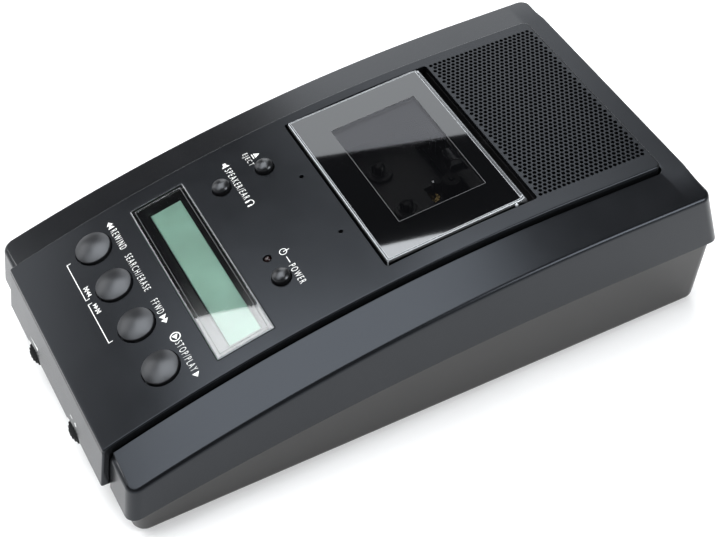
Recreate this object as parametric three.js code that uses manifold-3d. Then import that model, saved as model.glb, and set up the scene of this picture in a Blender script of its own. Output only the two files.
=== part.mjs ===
// A desktop microcassette dictation machine: a wedge-shaped case with a raised, curved control
// panel between two lower shoulders, a clear cassette lid over the tape deck, a display, seven
// push buttons, two thumbwheels, a loudspeaker, and the tape drive and boards inside.
// Millimetres. x runs to the right, y back from the panel's front top edge, z up from the table.

import * as THREE from 'three';
import { mergeVertices } from 'three/addons/utils/BufferGeometryUtils.js';
import Module from 'manifold-3d';

const wasm = await Module();
wasm.setup();

// Clearance between pieces, wall thickness, sides of a round piece, and a height above everything.
const GAP = 0.3;
const WALL = 2.2;
const ROUND = 18;
const SMALL_ROUND = 12;
const CLEAR_TOP = 80;

// Case. The top surfaces and the lower edge of the side band are arcs that level out at a crest.
const CASE_MIDDLE_Y = 116.5;
const PANEL = { half: 47, back: 220.5, top: 64.2, crest: 184, radius: 560, skirt: 6.5, corner: 5 };
const PANEL_FOOT = { y: -3.1, z: 14.8 };
const SHOULDER = { top: 59, crest: 198, radius: 640, step: 2.8 };
const BAND = { top: 33.8, crest: 190, radius: 870 };
const SHELL = { halfTop: 65, halfBottom: 65.5, opening: 47.8, openingBack: 221 };
const SHELL_FRONT = { top: 1.7, bottom: -0.4 };
const SHELL_BACK = { top: 231, bottom: 237.6 };
const BASE = { floor: 1.2, floorWall: 2.5, halfTop: 63.9, halfBottom: 62.5 };
const BASE_FRONT = { top: 1.6, bottom: 2.4 };
const BASE_BACK = { top: 236.6, bottom: 233.8 };
const RIM = { half: 62.9, front: 4.3, back: 233, height: 4 };
const ARC_STEPS = 12;

const SCREW = { x: 56, front: 24, back: 214, split: 14, boss: 3.6, shaft: 1.3, head: 2.7 };
const FOOT = { x: 50, front: 14, back: 222, radius: 5.5, height: 1.5 };

// Controls on the panel: x and y of each centre, and the cap's radius and height.
const BIG_BUTTON = { radius: 6.8, dome: 2 };
const SMALL_BUTTON = { radius: 3.3, dome: 2.8 };
const BUTTONS = [
  { name: 'rewind_button', x: -32.9, y: 28.7, size: BIG_BUTTON },
  { name: 'search_button', x: -12.6, y: 28.7, size: BIG_BUTTON },
  { name: 'forward_button', x: 8.6, y: 28.7, size: BIG_BUTTON },
  { name: 'play_button', x: 30.5, y: 28.7, size: BIG_BUTTON },
  { name: 'speaker_button', x: -27.9, y: 78.7, size: SMALL_BUTTON },
  { name: 'eject_button', x: -27.4, y: 96.1, size: SMALL_BUTTON },
  { name: 'power_button', x: 22.5, y: 79, size: SMALL_BUTTON },
];
const STEM = { radius: 2, depth: 6.5, flange: 1.1 };
const LED = { x: 11.9, y: 78.6, radius: 1.3 };
const MICROPHONES = [
  { name: 'left_microphone', x: -15.3, y: 105.6 },
  { name: 'right_microphone', x: 16.3, y: 105.6 },
];
const MICROPHONE = { radius: 3, height: 4, pinhole: 0.9 };
const GRILLE = { x: -1.6, y: 195.6, columns: 9, rows: 6, pitch: 8.2, hole: 1.9 };
const DISPLAY = { x: 0.4, y: 57.1, width: 79.6, length: 21.4, thick: 1.5, proud: 0.3, depth: 5 };
const GLASS = { x: 1.2, y: 58.1, width: 70.5, length: 12.2, top: -1.9, bottom: -3.9 };
const WHEELS = [
  { name: 'volume', x: -20.7 },
  { name: 'tone', x: 19.7 },
];
const WHEEL = { y: 4.4, radius: 9, bottom: 11.9, top: 14.5, ridges: 24, stem: 1.6 };
const NOTCH = { half: 5.5, rise: 1.3 };

// Cassette well, its lid, and the deck's levels.
const WELL = { left: -42.5, right: 39.7, front: 111.7, back: 172.4, wall: 1.5, floor: 49.5 };
const LID = { left: -41.6, right: 38.8, front: 112.5, back: 169.3, tilt: 0.0768 };
const LID_SKIN = { thick: 1.6, wall: 1.5, depth: 6.6, backDepth: 2.4 };
const HINGE = { y: 167, z: 60.6, pin: 1, left: -44.4, right: 41.6, below: 4.4 };
const SEAT = { half: 25.6, front: 125, back: 150, rib: 1.6, height: 3.5 };
const REEL = { x: 11, y: 135.5, hole: 2.3, table: 6.5, tableTop: 43.4, tableBottom: 41.2 };
const SPINDLE = { collar: 4.9, core: 2.1, neck: 1.9, top: 54.6 };
const CAPSTAN = { x: 6.3, y: 148.8, radius: 0.75, hub: 3, bearing: 2.6, top: 55 };
const DECK = { left: -43, right: 40, front: 109, back: 174.5, top: 46.2, thick: 1.2 };
const FLYWHEEL = { radius: 15, bottom: 24, top: 27 };
const MOTOR = { x: -31, y: 146, radius: 12, bottom: 28.6, top: 44.6, pulley: 4 };
const BELT = { thick: 1, bottom: 25, top: 26 };
const IDLER = { radius: 3.5, axle: 1 };
const PINCH = { x: 22, y: 156, stud: 1.2, axle: 0.8, roller: 3.3, reach: 14.2, angle: 3.174 };
const HEADS = { plateBottom: 46.6, plateTop: 47.6, front: 158.8, top: 54.4 };
const SOLENOID = { x: -9, y: 173, z: 37.5, half: 6, plunger: 2.4 };
const LATCH = { x: -27.4, y: 104, z: 49.5, width: 5, pin: 1 };

const BOARD_THICK = 1.6;
const KEY_BOARD = { front: 12, back: 90, half: 43.5, depth: 9.5 };
const SWITCH_TOP = 8;
const SPEAKER = { y: 195.9, radius: 21.6, flange: 1.5, top: 61.5, depth: 12, magnet: 11, magnetDepth: 6.5 };
const SOCKETS = [
  { name: 'foot_switch_socket', x: -36, nose: 4.6 },
  { name: 'earphone_socket', x: -14, nose: 3.4 },
  { name: 'power_socket', x: 8, nose: 4.2 },
];
const SOCKET = { half: 6, front: 218.6, back: 230.4, z: 16, reach: 234.4 };

// ---- Solids ----

function solidOf(geometry) {
  const bare = geometry.index ? geometry.toNonIndexed() : geometry.clone();
  bare.deleteAttribute('normal');
  bare.deleteAttribute('uv');
  const merged = mergeVertices(bare, 1e-4);
  const index = merged.index.array;
  const triangles = [];
  for (let i = 0; i < index.length; i += 3) {
    const corners = [index[i], index[i + 1], index[i + 2]];
    if (new Set(corners).size === 3) triangles.push(...corners);
  }
  return new wasm.Manifold(new wasm.Mesh({
    numProp: 3,
    vertProperties: new Float32Array(merged.attributes.position.array),
    triVerts: new Uint32Array(triangles),
  }));
}

function geometryOf(solid) {
  const mesh = solid.getMesh();
  const geometry = new THREE.BufferGeometry();
  geometry.setAttribute('position', new THREE.BufferAttribute(mesh.vertProperties, 3));
  geometry.setIndex(new THREE.BufferAttribute(mesh.triVerts, 1));
  geometry.computeVertexNormals();
  return geometry;
}

function cut(base, tools) {
  return geometryOf(tools.reduce((solid, tool) => solid.subtract(solidOf(tool)), solidOf(base)));
}

function join(pieces) {
  return geometryOf(pieces.map(solidOf).reduce((solid, piece) => solid.add(piece)));
}

function common(first, second) {
  return geometryOf(solidOf(first).intersect(solidOf(second)));
}

function box(x0, x1, y0, y1, z0, z1) {
  const geometry = new THREE.BoxGeometry(x1 - x0, y1 - y0, z1 - z0);
  return geometry.translate((x0 + x1) / 2, (y0 + y1) / 2, (z0 + z1) / 2);
}

function centredBox(x, y, halfX, halfY, z0, z1) {
  return box(x - halfX, x + halfX, y - halfY, y + halfY, z0, z1);
}

function rod(x, y, radius, z0, z1, sides = SMALL_ROUND) {
  const geometry = new THREE.CylinderGeometry(radius, radius, z1 - z0, sides);
  return geometry.rotateX(Math.PI / 2).translate(x, y, (z0 + z1) / 2);
}

function crossRod(x0, x1, y, z, radius, sides = SMALL_ROUND) {
  const geometry = new THREE.CylinderGeometry(radius, radius, x1 - x0, sides);
  return geometry.rotateZ(Math.PI / 2).translate((x0 + x1) / 2, y, z);
}

function lengthRod(x, y0, y1, z, radius, sides = SMALL_ROUND) {
  return new THREE.CylinderGeometry(radius, radius, y1 - y0, sides).translate(x, (y0 + y1) / 2, z);
}

// A profile of [radius, height] pairs, from the lower end to the upper, turned about z.
function turned(profile, sides = ROUND) {
  const points = profile.map(([radius, height]) => new THREE.Vector2(radius, height));
  return new THREE.LatheGeometry(points, sides).rotateX(Math.PI / 2);
}

function ring(inner, outer, z0, z1, sides = ROUND) {
  return turned([[inner, z0], [outer, z0], [outer, z1], [inner, z1], [inner, z0]], sides);
}

// An outline in the y-z plane, extruded across from x0 to x1.
function across(points, x0, x1) {
  const shape = new THREE.Shape(points);
  const geometry = new THREE.ExtrudeGeometry(shape, { depth: x1 - x0, bevelEnabled: false });
  const axes = new THREE.Matrix4().makeBasis(
    new THREE.Vector3(0, 1, 0),
    new THREE.Vector3(0, 0, 1),
    new THREE.Vector3(1, 0, 0),
  );
  return geometry.applyMatrix4(axes).translate(x0, 0, 0);
}

// ---- Case surfaces ----

function arcHeight(y, { top, crest, radius }, depth = 0) {
  const run = Math.max(crest - y, 0);
  return top - radius + Math.sqrt((radius - depth) ** 2 - run ** 2);
}

function panelZ(y, depth = 0) {
  return arcHeight(y, PANEL, depth);
}

function panelSlope(y) {
  return Math.asin(Math.max(PANEL.crest - y, 0) / PANEL.radius);
}

function shoulderZ(x, y) {
  const inner = panelZ(y) - SHOULDER.step;
  const share = (Math.abs(x) - SHELL.opening) / (SHELL.halfTop - SHELL.opening);
  return THREE.MathUtils.lerp(inner, arcHeight(y, SHOULDER), Math.max(share, 0));
}

// The frame of a control on the panel: its local z is the panel's outward normal.
function panelFrame(x, y) {
  const turn = new THREE.Matrix4().makeRotationX(panelSlope(y));
  return new THREE.Matrix4().makeTranslation(x, y, panelZ(y)).multiply(turn);
}

function onPanel(geometry, x, y) {
  return geometry.applyMatrix4(panelFrame(x, y));
}

function panelEdge(inset, back, below) {
  const lean = (-PANEL_FOOT.y / (panelZ(0) - PANEL_FOOT.z)) * below;
  const points = [new THREE.Vector2(PANEL_FOOT.y - lean + inset, PANEL_FOOT.z - below)];
  for (let i = 0; i <= ARC_STEPS; i++) {
    const y = inset + ((back - inset) * i) / ARC_STEPS;
    points.push(new THREE.Vector2(y, panelZ(y, inset)));
  }
  return points;
}

// The band between two insets of the panel's side outline, over its whole length.
function panelBand(near, far, back, below, half) {
  const outer = panelEdge(near, back, below);
  const inner = panelEdge(far, back, below).reverse();
  return across([...outer, ...inner], -half, half);
}

function roundedPlan(half, front, back, corner, z0, z1) {
  const shape = new THREE.Shape();
  shape.moveTo(-half, front);
  shape.lineTo(half, front);
  shape.absarc(half - corner, back - corner, corner, 0, Math.PI / 2);
  shape.absarc(-half + corner, back - corner, corner, Math.PI / 2, Math.PI);
  const options = { depth: z1 - z0, bevelEnabled: false, curveSegments: 5 };
  return new THREE.ExtrudeGeometry(shape, options).translate(0, 0, z0);
}

// A box whose points are moved by place(side, along, up), each argument from 0 to 1.
function moulded(acrossSteps, alongSteps, place) {
  const geometry = new THREE.BoxGeometry(1, 1, 1, acrossSteps, alongSteps, 1);
  const position = geometry.attributes.position;
  for (let i = 0; i < position.count; i++) {
    const [side, along, up] = [position.getX(i), position.getY(i), position.getZ(i)];
    const point = place(side + 0.5, along + 0.5, up + 0.5);
    position.setXYZ(i, point.x, point.y, point.z);
  }
  return geometry;
}

// ---- Upper case ----

function shellBlock(inset, below) {
  const { lerp } = THREE.MathUtils;
  return moulded(4, ARC_STEPS, (side, along, up) => {
    const front = lerp(SHELL_FRONT.bottom, SHELL_FRONT.top, up) + inset;
    const back = lerp(SHELL_BACK.bottom, SHELL_BACK.top, up) - inset;
    const half = lerp(SHELL.halfBottom, SHELL.halfTop, up) - inset;
    const stations = [-half, -SHELL.opening, 0, SHELL.opening, half];
    const x = stations[Math.round(side * 4)];
    const y = lerp(front, back, along);
    const z = up > 0.5 ? shoulderZ(x, y) - inset : arcHeight(y, BAND) - below;
    return { x, y, z };
  });
}

function screwPlaces() {
  const places = [];
  for (const x of [-SCREW.x, SCREW.x]) {
    for (const y of [SCREW.front, SCREW.back]) places.push({ x, y });
  }
  return places;
}

function upperCase() {
  const opening = roundedPlan(SHELL.opening, -20, SHELL.openingBack, PANEL.corner, 0, CLEAR_TOP);
  const hollow = cut(shellBlock(0, 0), [shellBlock(WALL, 4), opening]);
  const bosses = screwPlaces().map(({ x, y }) =>
    rod(x, y, SCREW.boss, SCREW.split + GAP, shoulderZ(x, y) - WALL / 2));
  const pilots = screwPlaces().map(({ x, y }) =>
    rod(x, y, SCREW.shaft + GAP, SCREW.split - 1, SCREW.split + 9, 10));
  return cut(join([hollow, ...bosses]), pilots);
}

// ---- Control panel ----

function buttonHole({ x, y, size }) {
  const radius = size.radius + GAP;
  const sides = size === BIG_BUTTON ? ROUND : SMALL_ROUND;
  return onPanel(rod(0, 0, radius, -9, 4, sides), x, y);
}

function grilleHoles() {
  const holes = [];
  for (let row = 0; row < GRILLE.rows; row++) {
    const shift = row % 2 ? 0.25 : -0.25;
    for (let column = 0; column < GRILLE.columns; column++) {
      const x = GRILLE.x + (column - (GRILLE.columns - 1) / 2 + shift) * GRILLE.pitch;
      const y = GRILLE.y + (row - (GRILLE.rows - 1) / 2) * GRILLE.pitch * 0.87;
      holes.push(rod(x, y, GRILLE.hole, PANEL.top - 5, PANEL.top + 1, 6));
    }
  }
  return holes;
}

function keyBoardZ(y) {
  const { front, back, depth } = KEY_BOARD;
  const share = (y - front) / (back - front);
  return THREE.MathUtils.lerp(panelZ(front), panelZ(back), share) - depth;
}

function panelPosts() {
  const posts = [];
  for (const x of [-40, 40]) {
    for (const y of [17, 85]) posts.push(rod(x, y, 1.8, keyBoardZ(y) + 0.8, panelZ(y) - 1, 10));
  }
  return posts;
}

function controlPanel() {
  const skin = panelBand(0, PANEL.skirt, PANEL.back, 0, PANEL.half);
  const inside = panelBand(WALL, PANEL.skirt + 3, PANEL.back - WALL, 2, PANEL.half - WALL);
  const plan = roundedPlan(PANEL.half, -20, PANEL.back, PANEL.corner, 0, CLEAR_TOP);
  const shell = common(cut(skin, [inside]), plan);
  const halfX = DISPLAY.width / 2 + GAP;
  const halfY = DISPLAY.length / 2 + GAP;
  const display = onPanel(centredBox(0, 0, halfX, halfY, -DISPLAY.depth, 3), DISPLAY.x, DISPLAY.y);
  const well = box(WELL.left, WELL.right, WELL.front, WELL.back, DECK.top, CLEAR_TOP);
  const notches = WHEELS.map(({ x }) =>
    centredBox(x, 0, NOTCH.half, NOTCH.half, PANEL_FOOT.z - 1, PANEL_FOOT.z + NOTCH.rise));
  const led = onPanel(rod(0, 0, LED.radius + GAP, -5, 3, 10), LED.x, LED.y);
  const pinholes = MICROPHONES.map(({ x, y }) => onPanel(rod(0, 0, MICROPHONE.pinhole, -5, 3, 8), x, y));
  const holes = [...BUTTONS.map(buttonHole), ...grilleHoles(), ...notches, ...pinholes];
  return cut(join([shell, ...panelPosts()]), [display, well, led, ...holes]);
}

// ---- Lower case ----

function baseBlock() {
  const { lerp } = THREE.MathUtils;
  return moulded(1, ARC_STEPS, (side, along, up) => {
    const half = lerp(BASE.halfBottom, BASE.halfTop, up);
    const front = lerp(BASE_FRONT.bottom, BASE_FRONT.top, up);
    const back = lerp(BASE_BACK.bottom, BASE_BACK.top, up);
    const y = lerp(front, back, along);
    const z = up > 0.5 ? arcHeight(y, BAND) - GAP : BASE.floor;
    return { x: lerp(-half, half, side), y, z };
  });
}

function levelBlock(half, front, back, bottom, rise) {
  const { lerp } = THREE.MathUtils;
  return moulded(1, ARC_STEPS, (side, along, up) => {
    const y = lerp(front, back, along);
    return { x: lerp(-half, half, side), y, z: up > 0.5 ? arcHeight(y, BAND) + rise : bottom };
  });
}

function lowerPosts() {
  const bosses = screwPlaces().map(({ x, y }) => rod(x, y, 4.6, 3, SCREW.split));
  const boardPosts = [];
  for (const x of [-45, 45]) {
    for (const y of [30, 205]) boardPosts.push(rod(x, y, 3, 3, 7.7, 10));
  }
  const wheelPosts = [-6, 6].map((x) => rod(x, 12, 2, 3, 21.3, 10));
  return [...bosses, ...boardPosts, ...wheelPosts];
}

function lowerCase() {
  const outside = join([baseBlock(), levelBlock(RIM.half, RIM.front, RIM.back, 6, RIM.height)]);
  const floorTop = BASE.floor + BASE.floorWall;
  const inside = levelBlock(RIM.half - WALL, RIM.front + WALL, RIM.back - WALL, floorTop, RIM.height + 5);
  const tray = join([cut(outside, [inside]), ...lowerPosts()]);
  const screwHoles = screwPlaces().flatMap(({ x, y }) => [
    rod(x, y, SCREW.shaft + GAP, 0, SCREW.split + 1, 10),
    rod(x, y, SCREW.head + GAP, 0, 5.2, 12),
  ]);
  const footHoles = footPlaces().map(({ x, y }) => rod(x, y, FOOT.radius + GAP, 0, FOOT.height + GAP));
  const wheelSlots = WHEELS.map(({ x }) =>
    box(x - WHEEL.radius - 1, x + WHEEL.radius + 1, -4, 8, WHEEL.bottom - 1, 30));
  const socketHoles = SOCKETS.map(({ x, nose }) => lengthRod(x, 228, 240, SOCKET.z, nose + GAP, 16));
  return cut(tray, [...screwHoles, ...footHoles, ...wheelSlots, ...socketHoles]);
}

function footPlaces() {
  return [
    { name: 'front_left_foot', x: -FOOT.x, y: FOOT.front },
    { name: 'front_right_foot', x: FOOT.x, y: FOOT.front },
    { name: 'back_left_foot', x: -FOOT.x, y: FOOT.back },
    { name: 'back_right_foot', x: FOOT.x, y: FOOT.back },
  ];
}

function foot() {
  const { radius, height } = FOOT;
  return turned([[0, 0], [radius - 0.4, 0], [radius, 0.5], [radius, height], [0, height]]);
}

function screw() {
  const { shaft, head } = SCREW;
  return turned([[0, 2], [head, 2], [head, 4.9], [shaft, 4.9], [shaft, 21], [0, 22]], 12);
}

// ---- Buttons, wheels and display ----

function button({ radius, dome }) {
  const { flange, depth } = STEM;
  const profile = [[0, -depth], [STEM.radius, -depth], [STEM.radius, -3.4], [radius + flange, -3.4]];
  profile.push([radius + flange, -2.6], [radius, -2.6], [radius, 0.2]);
  const steps = radius > 5 ? 4 : 3;
  for (let i = 1; i <= steps; i++) {
    const turn = (i / steps) * (Math.PI / 2);
    profile.push([i === steps ? 0 : radius * Math.cos(turn), 0.2 + dome * Math.sin(turn)]);
  }
  return turned(profile, radius > 5 ? ROUND : SMALL_ROUND);
}

function thumbwheel() {
  const shape = new THREE.Shape();
  const points = [];
  for (let i = 0; i < WHEEL.ridges * 2; i++) {
    const turn = (i / WHEEL.ridges) * Math.PI;
    const radius = WHEEL.radius - (i % 2 ? 0.6 : 0);
    points.push(new THREE.Vector2(radius * Math.cos(turn), radius * Math.sin(turn)));
  }
  shape.setFromPoints(points);
  const depth = WHEEL.top - WHEEL.bottom;
  const disc = new THREE.ExtrudeGeometry(shape, { depth, bevelEnabled: false });
  return join([disc, rod(0, 0, WHEEL.stem, 1, depth + 4)]);
}

function wheelControl() {
  const body = rod(0, 0, 4.3, 0, 5.8, 12);
  return cut(body, [rod(0, 0, WHEEL.stem + GAP, -1, 4)]);
}

function displayBezel() {
  const { width, length, thick, depth } = DISPLAY;
  const plate = centredBox(0, 0, (width - 1) / 2, (length - 1) / 2, -depth, -thick);
  const [shiftX, shiftY] = [GLASS.x - DISPLAY.x, GLASS.y - DISPLAY.y];
  const [halfX, halfY] = [GLASS.width / 2 + GAP, GLASS.length / 2 + GAP];
  return cut(plate, [centredBox(shiftX, shiftY, halfX, halfY, GLASS.bottom - GAP, 0)]);
}

// ---- Lid ----

// The lid about its hinge line: the pin's centre is the origin and the top is level.
function cassetteLid() {
  const front = LID.front - HINGE.y;
  const back = LID.back - HINGE.y;
  const top = HINGE.below;
  const bottom = top - LID_SKIN.depth;
  const block = box(LID.left, LID.right, front, back, bottom, top);
  const { thick, wall, backDepth } = LID_SKIN;
  const [left, right] = [LID.left + wall, LID.right - wall];
  const inside = box(left, right, front + wall, back - wall, bottom - 1, top - thick);
  const backCut = box(left, right, back - 4, back + 1, bottom - 1, top - backDepth);
  const bore = crossRod(LID.left - 2, LID.right + 2, 0, 0, HINGE.pin + GAP);
  return cut(block, [inside, backCut, bore]);
}

class Helix extends THREE.Curve {
  constructor(radius, length, turns) {
    super();
    Object.assign(this, { radius, length, turns });
  }

  getPoint(t) {
    const turn = t * this.turns * 2 * Math.PI;
    const { radius, length } = this;
    return new THREE.Vector3(t * length, radius * Math.cos(turn), radius * Math.sin(turn));
  }
}

function lidSpring() {
  const section = new THREE.Shape().absarc(0, 0, 0.25, 0, 2 * Math.PI);
  const options = { steps: 32, curveSegments: 3, bevelEnabled: false, extrudePath: new Helix(1.65, 4.5, 4) };
  return new THREE.ExtrudeGeometry(section, options);
}

function lidLatch() {
  const { width, pin } = LATCH;
  const arm = box(-width / 2, width / 2, -10, 4, -0.8, 0.8);
  const upright = box(-width / 2, width / 2, 2.6, 4.4, -0.8, 5.6);
  const nose = box(-width / 2, width / 2, 2.6, 8, 4, 5.6);
  return cut(join([arm, upright, nose, crossRod(-width / 2, width / 2, 0, 0, 2.2)]),
    [crossRod(-width, width, 0, 0, pin + GAP)]);
}

// ---- Cassette well and deck ----

function cassetteWell() {
  const { left, right, front, back, wall, floor } = WELL;
  const block = box(left - wall, right + wall, front - wall, back + wall, floor - wall, CLEAR_TOP);
  const hollow = box(left + 0.1, right - 0.1, front + 0.1, back - 0.1, floor, CLEAR_TOP);
  const lidRoom = panelCover(WALL + GAP);
  const ribs = [-1, 1].map((side) => {
    const x = side * (SEAT.half + SEAT.rib / 2);
    return box(x - SEAT.rib / 2, x + SEAT.rib / 2, SEAT.front, SEAT.back, floor - 0.5, floor + SEAT.height);
  });
  const posts = [left + 3, right - 3].flatMap((x) => [front + 3, back - 3].map((y) =>
    rod(x, y, 2.2, DECK.top + GAP, floor - 0.5, 10)));
  const [low, high] = [floor - wall - 1, floor + 2.5];
  const holes = [-REEL.x, REEL.x].map((x) => rod(x, REEL.y, REEL.hole, low, high));
  const headSlot = box(-18.5, 2, 154.2, 166.5, low, high);
  const rollerSlot = box(3.5, 27, 146.2, 161.5, low, high);
  const pinHoles = crossRod(left - 5, right + 5, HINGE.y, HINGE.z, HINGE.pin + GAP);
  const latchWindow = centredBox(LATCH.x, front, 3.2, 3, 52.8, 62);
  return cut(join([cut(block, [hollow, lidRoom]), ...ribs, ...posts]),
    [...holes, headSlot, rollerSlot, pinHoles, latchWindow]);
}

// Everything above a surface that lies the given depth under the panel's skin.
function panelCover(depth) {
  const points = panelEdge(depth, PANEL.back, 0);
  points.push(new THREE.Vector2(PANEL.back, CLEAR_TOP), new THREE.Vector2(-10, CLEAR_TOP));
  return across(points, -SHELL.halfTop, SHELL.halfTop);
}

function idlerPlace() {
  const toCapstan = CAPSTAN.hub + IDLER.radius + GAP;
  const toReel = REEL.table + IDLER.radius + GAP;
  const [dx, dy] = [CAPSTAN.x - REEL.x, CAPSTAN.y - REEL.y];
  const span = Math.hypot(dx, dy);
  const along = (toReel ** 2 - toCapstan ** 2 + span ** 2) / (2 * span);
  const aside = Math.sqrt(toReel ** 2 - along ** 2);
  return {
    x: REEL.x + (dx * along + dy * aside) / span,
    y: REEL.y + (dy * along - dx * aside) / span,
  };
}

function deckPlate() {
  const { left, right, front, back, top, thick } = DECK;
  const plate = box(left, right, front, back, top - thick, top);
  const idler = idlerPlace();
  const studs = [
    rod(idler.x, idler.y, IDLER.axle, REEL.tableBottom, top - 0.5, 10),
    rod(PINCH.x, PINCH.y, PINCH.stud, top - 0.5, HEADS.plateTop + 0.8, 10),
  ];
  const [low, high] = [top - thick - 1, top + 1];
  const holes = [-REEL.x, REEL.x].map((x) => rod(x, REEL.y, REEL.hole, low, high));
  const bearing = rod(CAPSTAN.x, CAPSTAN.y, CAPSTAN.bearing + GAP, low, high);
  const tabSlot = box(SOLENOID.x - 2.4, SOLENOID.x + 2.4, 157, 166, low, high);
  return cut(join([plate, ...studs]), [...holes, bearing, tabSlot]);
}

function reelSpindle() {
  const { table, tableBottom, tableTop } = REEL;
  const { collar, core, neck, top } = SPINDLE;
  const floor = WELL.floor;
  const body = turned([
    [0, tableBottom], [table, tableBottom], [table, tableTop], [neck, tableTop], [neck, floor + GAP],
    [collar, floor + GAP], [collar, floor + 1.2], [core, floor + 1.4], [core, top - 0.8],
    [core / 2, top], [0, top],
  ]);
  const fins = [0, 1, 2].map((i) =>
    box(0, 2.8, -0.4, 0.4, floor + 1, top - 1.2).rotateZ((i * 2 * Math.PI) / 3));
  return join([body, ...fins]);
}

function capstanShaft() {
  const { radius, hub, top } = CAPSTAN;
  const { tableBottom, tableTop } = REEL;
  return turned([
    [0, FLYWHEEL.bottom - 1], [radius, FLYWHEEL.bottom - 1], [radius, tableBottom], [hub, tableBottom],
    [hub, tableTop], [radius, tableTop], [radius, top - 0.3], [0, top],
  ], 16);
}

function flywheel() {
  const { radius, bottom, top } = FLYWHEEL;
  const bore = CAPSTAN.radius + GAP;
  return turned([
    [bore, bottom], [radius, bottom], [radius, top], [radius - 3, top], [radius - 4, top - 1.2],
    [4, top - 1.2], [3, top + 3], [bore, top + 3], [bore, bottom],
  ], 24);
}

function flywheelBracket() {
  const half = FLYWHEEL.radius + 5;
  const strap = centredBox(0, 0, half + 2.5, 4, FLYWHEEL.bottom - 2.7, FLYWHEEL.bottom - 1.5);
  const posts = [-half, half].map((x) =>
    rod(x, 0, 1.6, FLYWHEEL.bottom - 2, DECK.top - DECK.thick - GAP, 10));
  return join([strap, ...posts]);
}

function beltLoop(path, motorRadius, flywheelRadius) {
  const [dx, dy] = [CAPSTAN.x - MOTOR.x, CAPSTAN.y - MOTOR.y];
  const heading = Math.atan2(dy, dx);
  const spread = Math.acos((motorRadius - flywheelRadius) / Math.hypot(dx, dy));
  path.absarc(MOTOR.x, MOTOR.y, motorRadius, heading + spread, heading - spread + 2 * Math.PI);
  path.absarc(CAPSTAN.x, CAPSTAN.y, flywheelRadius, heading - spread, heading + spread);
  return path;
}

function driveBelt() {
  const outer = GAP + BELT.thick;
  const shape = beltLoop(new THREE.Shape(), MOTOR.pulley + outer, FLYWHEEL.radius + outer);
  shape.holes.push(beltLoop(new THREE.Path(), MOTOR.pulley + GAP, FLYWHEEL.radius + GAP));
  const options = { depth: BELT.top - BELT.bottom, bevelEnabled: false, curveSegments: 8 };
  return new THREE.ExtrudeGeometry(shape, options).translate(0, 0, BELT.bottom);
}

function driveMotor() {
  const { radius, bottom, top } = MOTOR;
  return turned([[0, bottom + 7], [1.4, bottom + 7], [1.4, bottom], [radius - 1, bottom],
    [radius, bottom + 1], [radius, top], [0, top]]);
}

function motorPulley() {
  const { bottom, pulley } = MOTOR;
  const [low, high] = [FLYWHEEL.bottom, FLYWHEEL.top];
  const neck = bottom + 6;
  return turned([[0, low], [pulley, low], [pulley, high], [1, high], [1, neck], [0, neck]], 20);
}

function pinchRest() {
  const { x, y, reach, angle } = PINCH;
  return { x: x + reach * Math.cos(angle), y: y + reach * Math.sin(angle) };
}

function pinchArm() {
  const { x, y, stud, axle, reach, angle } = PINCH;
  const roller = pinchRest();
  const low = DECK.top + 0.4;
  const high = HEADS.plateTop + 0.1;
  const bar = new THREE.BoxGeometry(reach, 4, high - low);
  bar.rotateZ(angle).translate((x + roller.x) / 2, (y + roller.y) / 2, (low + high) / 2);
  const ends = [rod(x, y, 2.6, low, high), rod(roller.x, roller.y, 2.4, low, high)];
  const pin = rod(roller.x, roller.y, axle, high - 0.5, HEADS.top, 10);
  return cut(join([bar, ...ends, pin]), [rod(x, y, stud + GAP, low - 1, high + 1, 10)]);
}

function headPlate() {
  const { plateBottom, plateTop, front } = HEADS;
  const plate = box(-17.5, 1, front - 1, 170, plateBottom, plateTop);
  const tab = box(SOLENOID.x - 1.8, SOLENOID.x + 1.8, 161, 162.2, SOLENOID.z - 3, plateTop);
  return join([plate, tab]);
}

function tapeHead(width, depth) {
  const { front, plateTop, top } = HEADS;
  const low = plateTop + GAP;
  const body = centredBox(0, front + depth / 2 + 1, width / 2, depth / 2, low, top);
  const face = rod(0, front + width / 2 + 0.4, width / 2, low, top, 20);
  return join([body, face]);
}

function headSolenoid() {
  const { x, y, z, half, plunger } = SOLENOID;
  const body = box(x - half, x + half, y - 5.5, y + 9, z - half, z + half);
  return cut(body, [lengthRod(x, y - 8, y + 5, z, plunger + GAP)]);
}

// ---- Boards, speaker and sockets ----

function keyBoard() {
  const { front, back, half } = KEY_BOARD;
  const points = [[front, 0], [back, 0], [back, -BOARD_THICK], [front, -BOARD_THICK]];
  const outline = points.map(([y, rise]) => new THREE.Vector2(y, keyBoardZ(y) + rise));
  const board = across(outline, -half, half);
  const switches = BUTTONS.filter(({ name }) => name !== 'eject_button').map(({ x, y }) =>
    onPanel(centredBox(0, 0, 3, 3, -11.6, -SWITCH_TOP), x, y));
  return join([board, ...switches]);
}

function mainBoard() {
  const [low, high] = [8, 8 + BOARD_THICK];
  const board = box(-50, 50, 24, 218, low, high);
  const chips = [[-20, 60, 12, 12, 3], [18, 62, 7, 5, 2.5], [30, 120, 8, 12, 9], [-34, 100, 4, 10, 6]];
  const blocks = chips.map(([x, y, halfX, halfY, tall]) =>
    centredBox(x, y, halfX, halfY, high - 0.5, high + tall));
  const cans = [[32, 178, 6, 15], [16, 182, 5, 12], [-36, 176, 5, 12]].map(([x, y, radius, tall]) =>
    rod(x, y, radius, high - 0.5, high + tall, 16));
  return join([board, ...blocks, ...cans]);
}

function speakerFrame() {
  const { radius, flange, top, depth, magnet } = SPEAKER;
  const low = top - depth;
  return turned([
    [4.5, low], [magnet, low], [radius - 1.5, top - flange], [radius, top - flange], [radius, top],
    [radius - 2.2, top], [magnet - 0.8, low + 1.2], [4.5, low + 1.2], [4.5, low],
  ], ROUND);
}

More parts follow.
